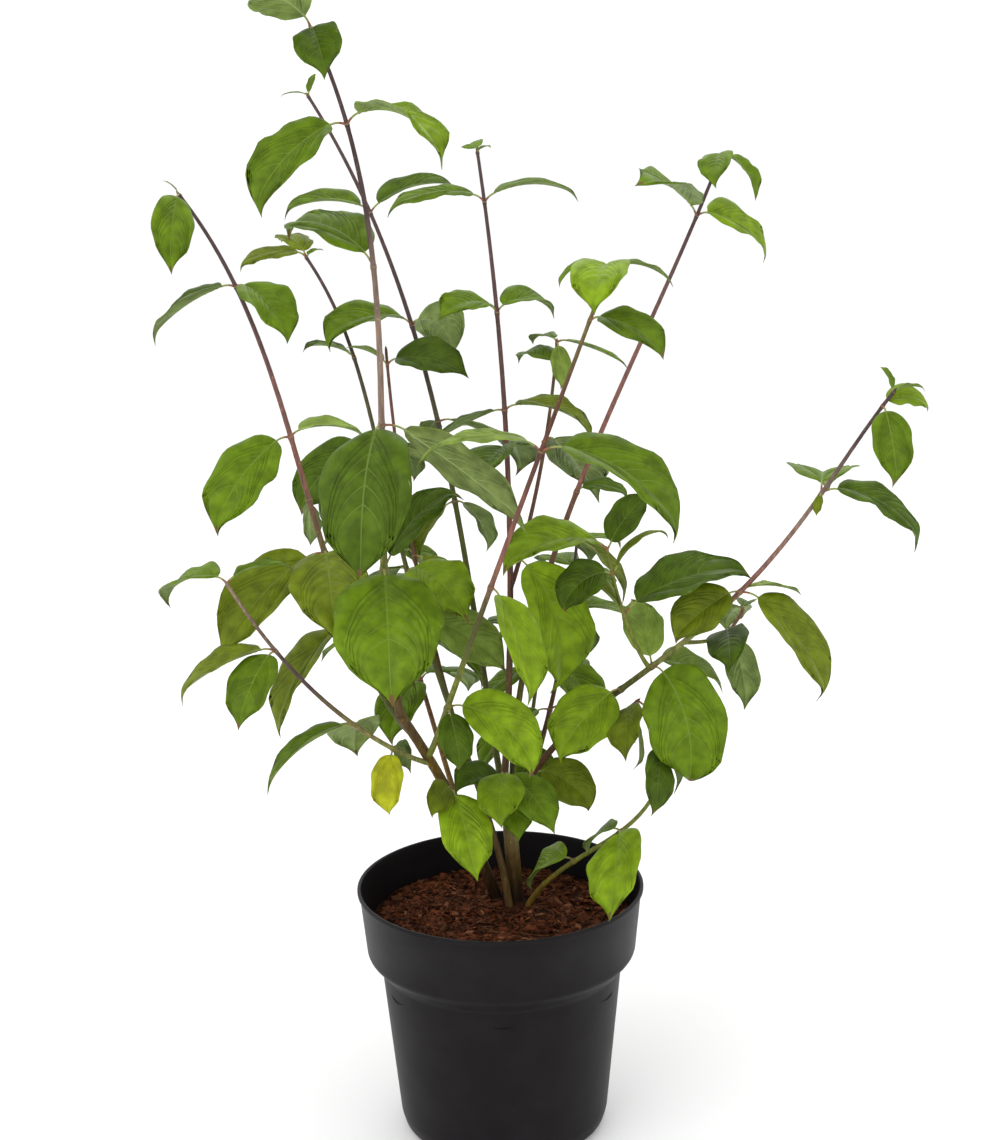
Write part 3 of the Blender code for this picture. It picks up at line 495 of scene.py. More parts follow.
# Colours, as light that the surface gives back
TONES = {
    "dark": (0.056, 0.100, 0.003),
    "mid": (0.100, 0.170, 0.004),
    "bright": (0.165, 0.262, 0.006),
    "olive": (0.122, 0.162, 0.006),
    "pale": (0.200, 0.285, 0.045),
    "yellow": (0.340, 0.360, 0.012),
}
UNDERSIDE = (0.230, 0.300, 0.105)
VEIN_COLOUR = (0.270, 0.360, 0.085)
TIP_COLOUR = (0.150, 0.090, 0.030)
PETIOLE_COLOURS = {"red": (0.260, 0.110, 0.060), "green": (0.270, 0.300, 0.085)}
BARKS = {
    # black is painted shade: the stems' feet lie in shade under the leaves
    "black": (0.022, 0.010, 0.003),
    "brown": (0.095, 0.056, 0.014),
    "orange": (0.160, 0.095, 0.008),
    "khaki": (0.175, 0.135, 0.045),
    "olive": (0.078, 0.085, 0.012),
    "lime": (0.150, 0.172, 0.022),
    "yellow": (0.240, 0.255, 0.070),
    "tan": (0.215, 0.150, 0.110),
    "red": (0.140, 0.056, 0.042),
    "rose": (0.230, 0.095, 0.075),
    "russet": (0.085, 0.030, 0.012),
    "maroon": (0.070, 0.040, 0.040),
}
# The bark's colours up each limb, by the share of its way; the stops marked below are painted shade
LIMB_BARKS = {
    # The black at the foot of the main and left stems is painted shade under the leaves
    "main_stem": ((0.1, "black"), (0.35, "brown"), (0.6, "khaki"), (0.9, "brown")),
    "left_stem": ((0.05, "black"), (0.3, "brown"), (0.6, "orange"), (0.9, "brown")),
    "olive_stem": ((0.1, "brown"), (0.3, "olive"), (0.65, "olive"), (0.9, "maroon")),
    "low_stem": ((0.05, "orange"), (0.4, "lime"), (0.9, "lime")),
    "tall_cane": ((0.1, "brown"), (0.24, "lime"), (0.36, "tan"), (0.6, "tan"), (0.74, "maroon")),
    "left_cane": ((0.1, "olive"), (0.3, "olive"), (0.5, "rose"), (0.8, "maroon")),
    # The olive band between the front cane's lime foot and its rose bark is painted shade
    "front_cane": ((0.2, "lime"), (0.34, "olive"), (0.5, "rose"), (0.75, "russet"), (0.97, "khaki")),
    "centre_cane": ((0.1, "brown"), (0.4, "red"), (0.9, "maroon")),
    "back_cane": ((0.1, "olive"), (0.4, "olive"), (0.65, "maroon"), (0.9, "maroon")),
    "right_cane": ((0.1, "olive"), (0.3, "brown"), (0.55, "rose"), (0.9, "maroon")),
    "far_right_cane": ((0.1, "russet"), (0.33, "olive"), (0.46, "yellow"), (0.6, "rose"), (0.75, "tan"),
                       (0.9, "maroon")),
    "inner_cane": ((0.1, "brown"), (0.9, "red")),
    "short_cane": ((0.1, "red"), (0.9, "brown")),
    "low_left_shoot": ((0.1, "yellow"), (0.35, "khaki"), (0.6, "maroon"), (0.95, "tan")),
    "middle_shoot": ((0.1, "lime"), (0.9, "lime")),
    "hooked_shoot": ((0.1, "khaki"), (0.9, "brown")),
    "right_shoot": ((0.1, "lime"), (0.9, "rose")),
    "left_spur": ((0.1, "lime"), (0.9, "lime")),
    "main_spur": ((0.1, "lime"), (0.9, "lime")),
    "back_right_cane": ((0.1, "olive"), (0.5, "red"), (0.9, "maroon")),
    "back_left_cane": ((0.1, "orange"), (0.5, "rose"), (0.9, "maroon")),
    "back_low_shoot": ((0.1, "lime"), (0.9, "red")),
}


class Value:
    """A socket in a material's tree. Arithmetic on it adds Math nodes."""

    def __init__(self, recipe, socket):
        self.recipe, self.socket = recipe, socket

    def math(self, operation, *others, clamp=False):
        return self.recipe.node("ShaderNodeMath", {"operation": operation, "use_clamp": clamp}, *others)

    def __add__(self, other):
        return self.math("ADD", self, other)

    def __sub__(self, other):
        return self.math("SUBTRACT", self, other)

    def __rsub__(self, other):
        return self.math("SUBTRACT", other, self)

    def __mul__(self, other):
        return self.math("MULTIPLY", self, other)

    def __truediv__(self, other):
        return self.math("DIVIDE", self, other)

    def __pow__(self, other):
        return self.math("POWER", self, other)

    __radd__, __rmul__ = __add__, __mul__

    def within(self, low, high):
        """0 below low, 1 above high, and even in between."""
        return self.math("MULTIPLY", self - low, 1 / (high - low), clamp=True)


class Recipe:
    """A material in the making, with one way to add any node."""

    def __init__(self, name, roughness=0.5, **shader):
        self.material = bpy.data.materials.new(name)
        self.material.use_nodes = True
        self.tree = self.material.node_tree
        self.shader = self.tree.nodes["Principled BSDF"]
        self.shader.inputs["Roughness"].default_value = roughness
        for socket, value in shader.items():
            self.shader.inputs[socket.replace("_", " ")].default_value = value
        self.place = self.node("ShaderNodeTexCoord", out="Object")

    def node(self, kind, settings=None, *values, out=0, **named):
        made = self.tree.nodes.new(kind)
        for setting, value in (settings or {}).items():
            setattr(made, setting, value)
        for place, value in [*enumerate(values), *named.items()]:
            socket = made.inputs[place if isinstance(place, int) else place.replace("_", " ")]
            if isinstance(value, Value):
                self.tree.links.new(value.socket, socket)
            else:
                socket.default_value = value
        return Value(self, made.outputs[out])

    def blend(self, share, first, second):
        """One colour at 0 and the other at 1."""
        made = self.tree.nodes.new("ShaderNodeMix")
        made.data_type = "RGBA"
        for place, value in ((0, share), (6, first), (7, second)):
            if isinstance(value, Value):
                self.tree.links.new(value.socket, made.inputs[place])
            else:
                made.inputs[place].default_value = value if place == 0 else (*value, 1)
        return Value(self, made.outputs[2])

    def height(self):
        """Height above the pot's underside, in millimetres."""
        return self.node("ShaderNodeSeparateXYZ", None, self.place, out="Z") * 1000

    def grain(self, size, detail=2.0, stretch=(1, 1, 1)):
        """Soft noise whose features are about this many millimetres across."""
        place = self.node("ShaderNodeVectorMath", {"operation": "MULTIPLY"}, self.place, stretch)
        return self.node("ShaderNodeTexNoise", None, Vector=place, Scale=1000 / size, Detail=detail)

    def spots(self, size, stretch=(1, 1, 1)):
        """Distance from scattered spots that are about this many millimetres apart."""
        place = self.node("ShaderNodeVectorMath", {"operation": "MULTIPLY"}, self.place, stretch)
        return self.node("ShaderNodeTexVoronoi", None, Vector=place, Scale=1000 / size)

    def feed(self, socket, value):
        self.tree.links.new(value.socket, self.shader.inputs[socket])

    def relief(self, height, depth, strength=1.0):
        """Bump of a height field, as deep as this many millimetres."""
        bump = self.node("ShaderNodeBump", None, Strength=strength, Distance=depth * MM, Height=height,
                         out="Normal")
        self.feed("Normal", bump)


def shade(colour, light):
    """A colour made lighter or darker."""
    return tuple(min(channel * light, 1.0) for channel in colour)


def blade_finish(name, colour):
    """Leaf skin: cloudy green with a fine net and a satin gloss."""
    skin = Recipe(name, roughness=0.42, Specular_IOR_Level=0.12)
    cloud = skin.grain(9, 3).within(0.35, 0.68)
    skin.feed("Base Color", skin.blend(cloud, shade(colour, 0.76), shade(colour, 1.26)))
    skin.feed("Roughness", 0.36 + 0.16 * skin.grain(3.0))
    skin.relief(skin.spots(1.3) + 0.5 * skin.grain(0.7), 0.16, 0.5)
    return skin.material


def rib_finish(name, colour):
    """Veins, margins and petioles: paler, a little rough."""
    rib = Recipe(name, roughness=0.5, Specular_IOR_Level=0.15)
    rib.feed("Base Color", rib.blend(rib.grain(4), shade(colour, 0.82), shade(colour, 1.15)))
    return rib.material


def bark_finish(name, stops):
    """Smooth young bark that changes colour up the limb, with pale lenticels; some stops are painted shade."""
    bark = Recipe(name, roughness=0.5, Specular_IOR_Level=0.3)
    height = bark.height() + (bark.grain(12) - 0.5) * 26
    base = BARKS[stops[0][1]]
    for (low, before), (high, colour) in zip(stops, stops[1:]):
        base = bark.blend(height.within(low, high), base, BARKS[colour])
    streaks = bark.grain(2.2, 4, (1, 1, 0.16)).within(0.38, 0.66)
    darker = bark.blend(streaks, (0.70, 0.68, 0.68), (1.25, 1.22, 1.2))
    base = bark.node("ShaderNodeVectorMath", {"operation": "MULTIPLY"}, base, darker)
    dots = 1 - bark.spots(2.6, (1, 1, 0.55)).within(0.10, 0.22)
    lit = bark.node("ShaderNodeVectorMath", {"operation": "MULTIPLY"}, base, (2.2, 2.4, 2.2))
    lit = bark.node("ShaderNodeVectorMath", {"operation": "ADD"}, lit, (0.03, 0.025, 0.012))
    bark.feed("Base Color", bark.blend(dots * 0.55, base, lit))
    bark.feed("Roughness", 0.42 + 0.25 * streaks)
    bark.relief(0.6 * bark.grain(1.6, 4, (1, 1, 0.2)) + 0.4 * dots, 0.35, 0.7)
    return bark.material


def plastic_finish():
    """Satin black plastic with a faint mould texture and dust."""
    plastic = Recipe("black_plastic", roughness=0.42, Specular_IOR_Level=0.11)
    dust = plastic.grain(26, 4).within(0.42, 0.8)
    plastic.feed("Base Color", plastic.blend(dust, (0.0065, 0.0052, 0.0060), (0.0105, 0.0090, 0.0100)))
    plastic.feed("Roughness", 0.36 + 0.14 * plastic.grain(40, 3) + 0.05 * plastic.grain(1.5))
    plastic.relief(plastic.grain(0.9, 2) + 0.4 * plastic.grain(6, 2), 0.05, 0.35)
    return plastic.material


def chip_finish(name, colour, roughness=0.85):
    """Torn bark or fibre."""
    chip = Recipe(name, roughness=roughness, Specular_IOR_Level=0.1)
    grain = chip.grain(2.5, 4).within(0.3, 0.7)
    chip.feed("Base Color", chip.blend(grain, shade(colour, 0.55), shade(colour, 1.35)))
    chip.relief(chip.grain(0.8, 4), 0.4, 0.8)
    return chip.material


def floor_finish():
    """Pale studio floor."""
    floor = Recipe("studio_floor", roughness=0.75)
    floor.feed("Base Color", floor.blend(floor.grain(400, 2), (0.90, 0.90, 0.90), (0.93, 0.93, 0.93)))
    return floor.material


class Piece:
    """The points and faces of one piece in millimetres, with a material for each face."""

    def __init__(self, name):
        self.name = name
        self.points, self.faces, self.finishes, self.used = [], [], [], []

    def add(self, points, faces, finish):
        """Add faces that share one finish, or that have one each."""
        first = len(self.points)
        self.points.extend(tuple(point) for point in points)
        self.faces.extend(tuple(first + corner for corner in face) for face in faces)
        finishes = finish if isinstance(finish, list) else [finish] * len(faces)
        for one in finishes:
            if one not in self.used:
                self.used.append(one)
            self.finishes.append(self.used.index(one))

    def make(self, slot, *nodes, smooth=True):
        mesh = bpy.data.meshes.new(self.name)
        mesh.from_pydata((np.array(self.points) * MM).tolist(), [], self.faces)
        for finish in self.used:
            mesh.materials.append(finish)
        mesh.polygons.foreach_set("material_index", self.finishes)
        mesh.polygons.foreach_set("use_smooth", [smooth] * len(self.faces))
        mesh.update()
        made = bpy.data.objects.new(self.name, mesh)
        bpy.context.scene.collection.objects.link(made)
        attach(made, "root")
        if nodes:
            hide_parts(*nodes)
        return made


def ring_faces(rings, sides, closed=True):
    """Quads between rings of points."""
    turn = sides if closed else sides - 1
    return [(ring * sides + corner, ring * sides + (corner + 1) % sides,
             (ring + 1) * sides + (corner + 1) % sides, (ring + 1) * sides + corner)
            for ring in range(rings - 1) for corner in range(turn)]


def outline(along):
    """A leaf's half width at a share of its length: round shoulders and a slender tip."""
    pinch = np.clip((along - TIP_START) / (1 - TIP_START), 0, 1)
    pinch = pinch * pinch * (3 - 2 * pinch)
    return np.sin(np.pi * np.clip(along, 0, 1) ** 0.8) ** ROUND_SHOULDER * (1 - TIP_PINCH * pinch)


def leaf_rows():
    """Rows across a leaf that sweep forward as its veins do: where each row leaves the midrib, where
    it meets the margin, which side of a vein it is on, and how far it lies between two veins."""
    veins = []
    for pair in range(VEIN_PAIRS):
        share = pair / (VEIN_PAIRS - 1)
        veins.append([first + (last - first) * share ** spread
                      for first, last, spread in zip(FIRST_VEIN, LAST_VEIN, VEIN_SPREAD)])
    rows = [(veins[0][0] * row / BASE_ROWS, veins[0][1] * (row / BASE_ROWS) ** 1.3, 0, row / BASE_ROWS)
            for row in range(BASE_ROWS)]
    for vein, after in zip(veins, veins[1:] + [(1.0, 1.0)]):
        rows += [(*vein, -1, 0.0), (*vein, 1, 0.0)]
        parts = TIP_ROWS if vein is veins[-1] else [part / (GAP_ROWS + 1) for part in range(1, GAP_ROWS + 1)]
        rows += [(vein[0] + (after[0] - vein[0]) * part, vein[1] + (after[1] - vein[1]) * part, 0, part)
                 for part in parts]
    return rows


ROWS = leaf_rows()
SHARES, MARGINS, OFF_VEIN, BETWEEN = (np.array(row)[:, None] for row in zip(*ROWS))


def leaf_skin(node, leaf, seed):
    """A leaf's upper and lower points by row and column, on the spine and fold of the rule."""
    chance = random.Random(seed)
    spine = leaf_spine(leaf, chance)
    fold = math.radians(FOLD + chance.uniform(-5, 5))
    own = random.Random(seed + " fine")
    blade = spine[PETIOLE_STEPS:]
    stations = np.linspace(0, 1, len(blade))
    centres = np.array([point for point, slope, bearing in blade])
    axes = [blade_axes(bearing, slope, leaf.roll) for point, slope, bearing in blade]
    sides = np.array([side for side, up in axes])
    ups = np.array([up for side, up in axes])
    length = leaf.length
    width = length * LEAF_WIDTH * leaf.wide / 2
    half_midrib = MIDRIB_HALF * length * (1 - 0.75 * SHARES)
    narrow = np.clip(half_midrib / np.maximum(width * outline(SHARES), 0.01), 0, 0.6)
    spread = np.array(COLUMNS)[None, :]
    out = narrow + (1 - narrow) * spread
    out = np.concatenate([-out[:, ::-1], out], axis=1)
    off = np.abs(out)
    shares = SHARES + OFF_VEIN * VEIN_HALF * (1 - 0.6 * off)
    sweep = VEIN_BEND * off + (1 - VEIN_BEND) * off ** 3
    along = np.clip(shares + (MARGINS - SHARES) * sweep, 0, 1)
    reach = np.where(along > 0.5, width * outline(along), np.maximum(width * outline(along), PETIOLE_THICK / 2))
    left = out < 0

    def wander(low, high):
        """A wave along each half of the leaf, with a start of its own."""
        start = np.where(left, own.uniform(0, math.tau), own.uniform(0, math.tau))
        pitch = np.where(left, own.uniform(low, high), own.uniform(low, high))
        return np.sin(math.tau * pitch * along + start)

    def at(values):
        return np.stack([np.interp(along, stations, values[:, axis]) for axis in range(3)], axis=-1)

    centre, side, up = at(centres), at(sides), at(ups)
    ends = np.clip(along / 0.12, 0, 1) * np.clip((1 - along) / 0.12, 0, 1)
    reach = reach * (1 + MARGIN_SWAY * ends * wander(1.5, 3.5))
    curl = own.uniform(-0.05, 0.22)
    height = math.sin(fold) * reach * (1.45 * off - 0.45 * off ** 2) - curl * reach * off ** 2
    bulge = 4 * BETWEEN * (1 - BETWEEN) * np.clip(off / 0.2, 0, 1) * (1 - off ** 4)
    height += QUILT * length * bulge * (1 - 0.5 * SHARES)
    height += WAVE * length * own.uniform(0.5, 1.3) * off ** 2.2 * ends * (wander(1.4, 2.6) + 0.5 * wander(3, 5))
    hook = np.clip((along - 0.8) / 0.2, 0, 1) ** 2 * length * TIP_HOOK
    height -= hook * own.uniform(-0.5, 1.6)
    across = out * reach * math.cos(fold) + hook * own.uniform(-1.2, 1.2)
    middle = centre + side * across[..., None] + up * height[..., None]
    on_vein = (np.abs(OFF_VEIN) > 0) * np.clip((VEIN_END + 0.08 - off) / 0.1, 0, 1)
    on_midrib = off <= narrow + 1e-6
    groove = length * np.maximum(on_vein * VEIN_RELIEF * (1 - 0.5 * off),
                                 on_midrib * MIDRIB_RELIEF * (1 - SHARES) * 0.6)
    rib = length * np.maximum(on_vein * VEIN_RELIEF, on_midrib * MIDRIB_RELIEF * (1 - 0.8 * SHARES))
    thick = length * (MARGIN_THICK + (BLADE_THICK - MARGIN_THICK) * (1 - off ** 3)) * (1 - 0.4 * along)
    base = np.array(node)
    top = base + middle + up * (thick / 2 - groove)[..., None]
    bottom = base + middle - up * (thick / 2 + rib)[..., None]
    tip = (top[-1, LEAF_COLUMNS // 2] + bottom[-1, LEAF_COLUMNS // 2]) / 2 * 2 - (
        top[-2, LEAF_COLUMNS // 2] + bottom[-2, LEAF_COLUMNS // 2]) / 2
    return top, bottom, tip


def leaf_faces(rows, columns):
    """Faces of a leaf's two skins and its margin, and which kind each is: blade, vein or tip."""
    faces, kinds = [], []
    lower = rows * columns
    tip = 2 * lower
    middle = columns // 2 - 1
    for row in range(rows - 1):
        vein_row = ROWS[row][2] == -1
        for column in range(columns - 1):
            a = row * columns + column
            corners = (a, a + 1, a + 1 + columns, a + columns)
            outer = column in (0, columns - 2)
            kind = "vein" if column == middle or (vein_row and not outer) else "blade"
            kind = "tip" if row > rows - 4 else kind
            faces.append(corners)
            kinds.append(("top", kind))
            faces.append(tuple(lower + corner for corner in reversed(corners)))
            kinds.append(("under", kind))
        for a, b in ((row * columns, (row + 1) * columns),
                     ((row + 2) * columns - 1, (row + 1) * columns - 1)):
            faces.append((a, b, lower + b, lower + a))
            kinds.append(("edge", "vein"))
    last = (rows - 1) * columns
    for column in range(columns - 1):
        faces.append((last + column, last + column + 1, tip))
        kinds.append(("top", "tip"))
        faces.append((lower + last + column + 1, lower + last + column, tip))
        kinds.append(("under", "tip"))
    for a, b in ((last, tip), (tip, last + columns - 1)):
        faces.append((a, b, lower + (last if a == last else last + columns - 1)))
        kinds.append(("edge", "vein"))
    faces.append(tuple(range(columns))[::-1] + tuple(range(lower, lower + columns)))
    kinds.append(("edge", "vein"))
    return faces, kinds


LEAF_COLUMNS = 2 * len(COLUMNS)
LEAF_FACES, LEAF_KINDS = leaf_faces(len(ROWS), LEAF_COLUMNS)


def add_leaf(piece, node, leaf, seed, finishes):
    """Add one fine leaf and its petiole to a piece."""
    top, bottom, tip = leaf_skin(node, leaf, seed)
    own = random.Random(seed + " tone")
    tone = finishes[leaf.tone]
    blade = tone["blade"][own.randrange(len(tone["blade"]))]
    dry = own.random() < 0.5
    worn = {("top", "blade"): blade, ("top", "vein"): tone["vein"], ("edge", "vein"): tone["vein"],
            ("under", "blade"): tone["under"], ("under", "vein"): tone["under_vein"],
            ("top", "tip"): tone["tip"] if dry else blade,
            ("under", "tip"): tone["tip"] if dry else tone["under"]}
    points = np.concatenate([top.reshape(-1, 3), bottom.reshape(-1, 3), tip[None, :]])
    piece.add(points, LEAF_FACES, [worn[kind] for kind in LEAF_KINDS])
    add_petiole(piece, node, leaf, seed, tone["petiole"])


def add_petiole(piece, node, leaf, seed, finishes):
    """A leaf's stalk, swollen where it clasps the stem, red there and green farther out."""
    spine = leaf_spine(leaf, random.Random(seed))[:PETIOLE_STEPS + 2]
    points = []
    for step, (point, slope, bearing) in enumerate(spine):
        side, up = blade_axes(bearing, slope, leaf.roll)
        radius = PETIOLE_THICK / 2 * (0.85 + (PETIOLE_SWELL - 0.85) * math.exp(-step * 0.9))
        if step > PETIOLE_STEPS:
            radius *= 0.6
        for turn in range(PETIOLE_SIDES):
            angle = math.tau * turn / PETIOLE_SIDES
            points.append(node + point + (side * math.cos(angle) + up * math.sin(angle)) * radius)
    last = len(points) - PETIOLE_SIDES
    faces = ring_faces(len(spine), PETIOLE_SIDES)
    worn = [finishes[face >= RED_STEPS * PETIOLE_SIDES] for face in range(len(faces))]
    faces += [tuple(range(PETIOLE_SIDES))[::-1], tuple(range(last, len(points)))]
    piece.add(points, faces, worn + finishes)


def leaf_finishes():
    """Blade, underside, vein and petiole materials for every tone."""
    under_vein = rib_finish("underside_vein", shade(UNDERSIDE, 1.35))
    petioles = [rib_finish(f"petiole_{name}", colour) for name, colour in PETIOLE_COLOURS.items()]
    tip = rib_finish("dry_tip", TIP_COLOUR)
    finishes = {}
    for name, colour in TONES.items():
        pale = tuple(0.72 * own + 0.28 * vein for own, vein in zip(colour, VEIN_COLOUR))
        under = tuple(0.35 * own + 0.65 * grey for own, grey in zip(colour, UNDERSIDE))
        finishes[name] = {
            "blade": [blade_finish(f"leaf_{name}_{letter}", shade(colour, light))
                      for letter, light in (("a", 0.9), ("b", 1.08))],
            "vein": rib_finish(f"vein_{name}", pale),
            "under": blade_finish(f"underside_{name}", under),
            "under_vein": under_vein,
            "tip": tip,
            "petiole": petioles,
        }
    return finishes


def frames_along(centres):
    """Tangents and two axes across at each centre, turned as little as possible."""
    tangents = [(centres[min(i + 1, len(centres) - 1)] - centres[max(i - 1, 0)]).normalized()
                for i in range(len(centres))]
    side = tangents[0].orthogonal().normalized()
    frames = []
    for tangent in tangents:
        side = (side - tangent * side.dot(tangent)).normalized()
        frames.append((side, tangent.cross(side)))
    return frames


def add_limb(piece, name, path, finish, scar):
    """A limb's bark with its node rings, its collar at the fork and its end bud."""
    limb = LIMBS[name]
    length = sum((path((step + 1) / 24) - path(step / 24)).length for step in range(24))
    nodes = [pair[0] for pair in limb.pairs]
    sunk = 0 if limb.parent else SUNK / length
    shares = {-sunk + (1 + sunk) * step / round(length / RING_STEP)
              for step in range(round(length / RING_STEP) + 1)}
    for node in nodes:
        shares |= {min(1.0, node + offset / length) for offset in (-1.6, -0.8, -0.25, 0.25, 0.8, 1.6)}
    shares = sorted(shares)
    sides = 20 if limb.thick[0] > 7 else 12
    centres = [path(share) for share in shares]
    radii, marks = [], []
    for share in shares:
        swell = sum(math.exp(-((share - node) * length / NODE_REACH) ** 2) for node in nodes)
        collar = COLLAR_SWELL * math.exp(-max(share, 0) * length / COLLAR_REACH) if limb.parent else 0
        radii.append(thickness(limb, share) / 2 * (1 + NODE_SWELL * swell + collar))
        marks.append(any(abs(share - node) * length < 0.5 for node in nodes))
    ahead = (path(1.0) - path(0.97)).normalized()
    for reach, narrow in ((0.6, 0.92), (1.4, 0.8), (2.2, 0.55), (BUD_LENGTH, 0.15)):
        centres.append(path(1.0) + ahead * reach)
        radii.append(thickness(limb, 1.0) / 2 * narrow)
        marks.append(False)
    points = []
    for centre, radius, (side, other) in zip(centres, radii, frames_along(centres)):
        for turn in range(sides):
            angle = math.tau * turn / sides
            out = side * math.cos(angle) + other * math.sin(angle)
            spot = centre + out * radius
            rough = noise.noise(Vector((spot.x * 0.9, spot.y * 0.9, spot.z * 0.14)))
            rough += 0.5 * noise.noise(spot * 0.6)
            points.append(centre + out * radius * (1 + BARK_RELIEF * rough))
    last = len(points) - sides
    faces = ring_faces(len(centres), sides)
    finishes = [scar if marks[ring] and marks[ring + 1] else finish
                for ring in range(len(centres) - 1) for corner in range(sides)]
    faces += [tuple(range(sides))[::-1], tuple(range(last, last + sides))]
    piece.add(points, faces, finishes + [finish, finish])


def mass_of(name):
    """The limb whose mass holds this limb's leaves."""
    limb = LIMBS[name]
    while limb.parent and limb.share > LIMBS[limb.parent].bare:
        name, limb = limb.parent, LIMBS[limb.parent]
    return name


def plant():
    """Bark and leaves of every limb, in place of its solids."""
    paths = limb_paths()
    placed, skipped = place_leaves(paths)
    print(len(placed), "leaves,", len(skipped), "left out")
    scar = rib_finish("node_scar", (0.260, 0.190, 0.090))
    finishes = leaf_finishes()
    for name, limb in LIMBS.items():
        path = paths[name]
        finish = bark_finish(f"bark_{name}", [(path(share).z, colour) for share, colour in LIMB_BARKS[name]])
        bark = Piece(f"{name}_bark")
        add_limb(bark, name, path, finish, scar)
        nodes = [name] if name in frame["nodes"] else []
        if limb.bare < 1:
            nodes.append(f"{mass_of(name)}_leaves")
        bark.make("bark", *nodes)
    for name in LIMBS:
        leaves = [leaf for leaf in placed if mass_of(leaf[0]) == name]
        if leaves:
            piece = Piece(f"{name}_foliage")
            for limb_name, share, seed, leaf in leaves:
                add_leaf(piece, paths[limb_name](share), leaf, seed, finishes)
            piece.make("foliage", f"{name}_leaves")


def rounded(corners, radius, steps=5):
    """A turned profile with its corners rounded."""
    made = [corners[0]]
    for before, corner, after in zip(corners, corners[1:], corners[2:]):
        corner, arrive, leave = Vector(corner), Vector(before), Vector(after)
        reach = min(radius, (arrive - corner).length / 2.2, (leave - corner).length / 2.2)
        start = corner + (arrive - corner).normalized() * reach
        end = corner + (leave - corner).normalized() * reach
        for step in range(steps + 1):
            share = step / steps
            made.append(tuple(start * (1 - share) ** 2 + corner * 2 * share * (1 - share) + end * share ** 2))
    made.append(corners[-1])
    return made


def inner_radius(height):
    """The radius of the pot's inner wall at a height."""
    stations = ((2.4, BASE_RADIUS), (12, BODY_FOOT_RADIUS - WALL), (SHOULDER_FOOT, SHOULDER_RADIUS - WALL),
                (COLLAR_FOOT, COLLAR_RADIUS - WALL - 1), (POT_HEIGHT, RIM_RADIUS - LIP))
    return float(np.interp(height, *zip(*[(high, wide) for high, wide in stations])))


def pot():
    """The pot's skin: rounded lip, collar, shoulder and foot, with faint moulded ribs."""
    top = GROUND - 12
    inside = [(inner_radius(top) - 0.2, top), (inner_radius(POT_HEIGHT - 8), POT_HEIGHT - 8),
              (RIM_RADIUS - LIP, POT_HEIGHT - 1.5)]
    lip = [(RIM_RADIUS - LIP + 0.5, POT_HEIGHT), (RIM_RADIUS, POT_HEIGHT), (RIM_RADIUS, POT_HEIGHT - LIP),
           (RIM_RADIUS - 1.5, POT_HEIGHT - LIP - 0.7)]
    shoulder = [(COLLAR_RADIUS + 0.2, COLLAR_FOOT - 2.5), (SHOULDER_RADIUS + 0.3, SHOULDER_FOOT + 1.5),
                (SHOULDER_RADIUS - 0.2, SHOULDER_FOOT - 3)]
    foot = [(BODY_FOOT_RADIUS, 11), (BODY_FOOT_RADIUS - 2.5, 3), (BASE_RADIUS, 0), (4, 0)]
    profile = rounded(inside + lip, 0.7, 4)[:-1] + rounded(lip[-1:] + shoulder + foot, 2.6, 7)
    piece = Piece("nursery_pot_skin")
    points = []
    for radius, height in profile:
        for turn in range(POT_SIDES):
            angle = math.tau * turn / POT_SIDES
            points.append((radius * math.cos(angle), radius * math.sin(angle), height))
    faces = [face[::-1] for face in ring_faces(len(profile), POT_SIDES)]
    faces.append(tuple(range(len(points) - POT_SIDES, len(points))))
    piece.add(points, faces, plastic_finish())
    add_ribs(piece)
    piece.make("black_plastic", "nursery_pot")


def add_ribs(piece):
    """Short raised arcs under the collar."""
    share = (RIB_HEIGHT - 11) / (SHOULDER_FOOT - 3 - 11)
    radius = BODY_FOOT_RADIUS + (SHOULDER_RADIUS - 0.2 - BODY_FOOT_RADIUS) * share
    steps = 16
    for rib in range(RIBS):
        middle = 360 * (rib + 0.5) / RIBS - 60
        points = []
        for step in range(steps + 1):
            angle = math.radians(middle + RIB_SPAN * (step / steps - 0.5))
            fade = math.sin(math.pi * step / steps) ** 0.7
            sag = -2.5 * (1 - (2 * step / steps - 1) ** 2)
            for up, out in ((0.9, -0.4), (0.0, RIB_PROUD * fade - 0.05), (-0.9, -0.4)):
                reach = radius + out
                points.append((reach * math.cos(angle), reach * math.sin(angle), RIB_HEIGHT + sag + up))
        faces = [face[::-1] for face in ring_faces(steps + 1, 3)]
        faces += [(0, 1, 2), (3 * steps + 2, 3 * steps + 1, 3 * steps)]
        piece.add(points, faces, piece.used[0])


def stem_feet():
    return [(Vector(limb.share), limb.thick[0] / 2) for limb in LIMBS.values() if not limb.parent]


def mulch_height(x, y):
    """The mulch's own surface, low between heaps and raised around the stems."""
    heap = noise.noise(Vector((x * 0.03, y * 0.03, 3.0))) + 0.5 * noise.noise(Vector((x, y, 9.0)) * 0.11)
    mound = math.exp(-((x - 5) ** 2 + (y - 16) ** 2) / MOUND_REACH ** 2)
    return GROUND + GROUND_RELIEF * heap - 0.8 + MOUND * mound


def mulch_bed():
    """The dark bed that the chips lie on."""
    piece = Piece("mulch_bed")
    edge = inner_radius(GROUND) - 0.5
    points = []
    for ring in range(GROUND_RINGS + 1):
        radius = edge * ring / GROUND_RINGS
        for turn in range(GROUND_SIDES):
            angle = math.tau * turn / GROUND_SIDES
            x, y = radius * math.cos(angle), radius * math.sin(angle)
            crumb = 1.3 * noise.noise(Vector((x, y, 0)) * 0.33)
            points.append((x, y, mulch_height(x, y) + crumb))
    deep = len(points)
    points += [(x, y, GROUND - 8) for x, y, z in points[-GROUND_SIDES:]]
    faces = ring_faces(GROUND_RINGS + 2, GROUND_SIDES)
    faces.append(tuple(range(deep, len(points))))
    piece.add(points, faces, chip_finish("mulch_dust", (0.034, 0.011, 0.005), 0.95))
    piece.make("bark_chips", "bark_mulch")


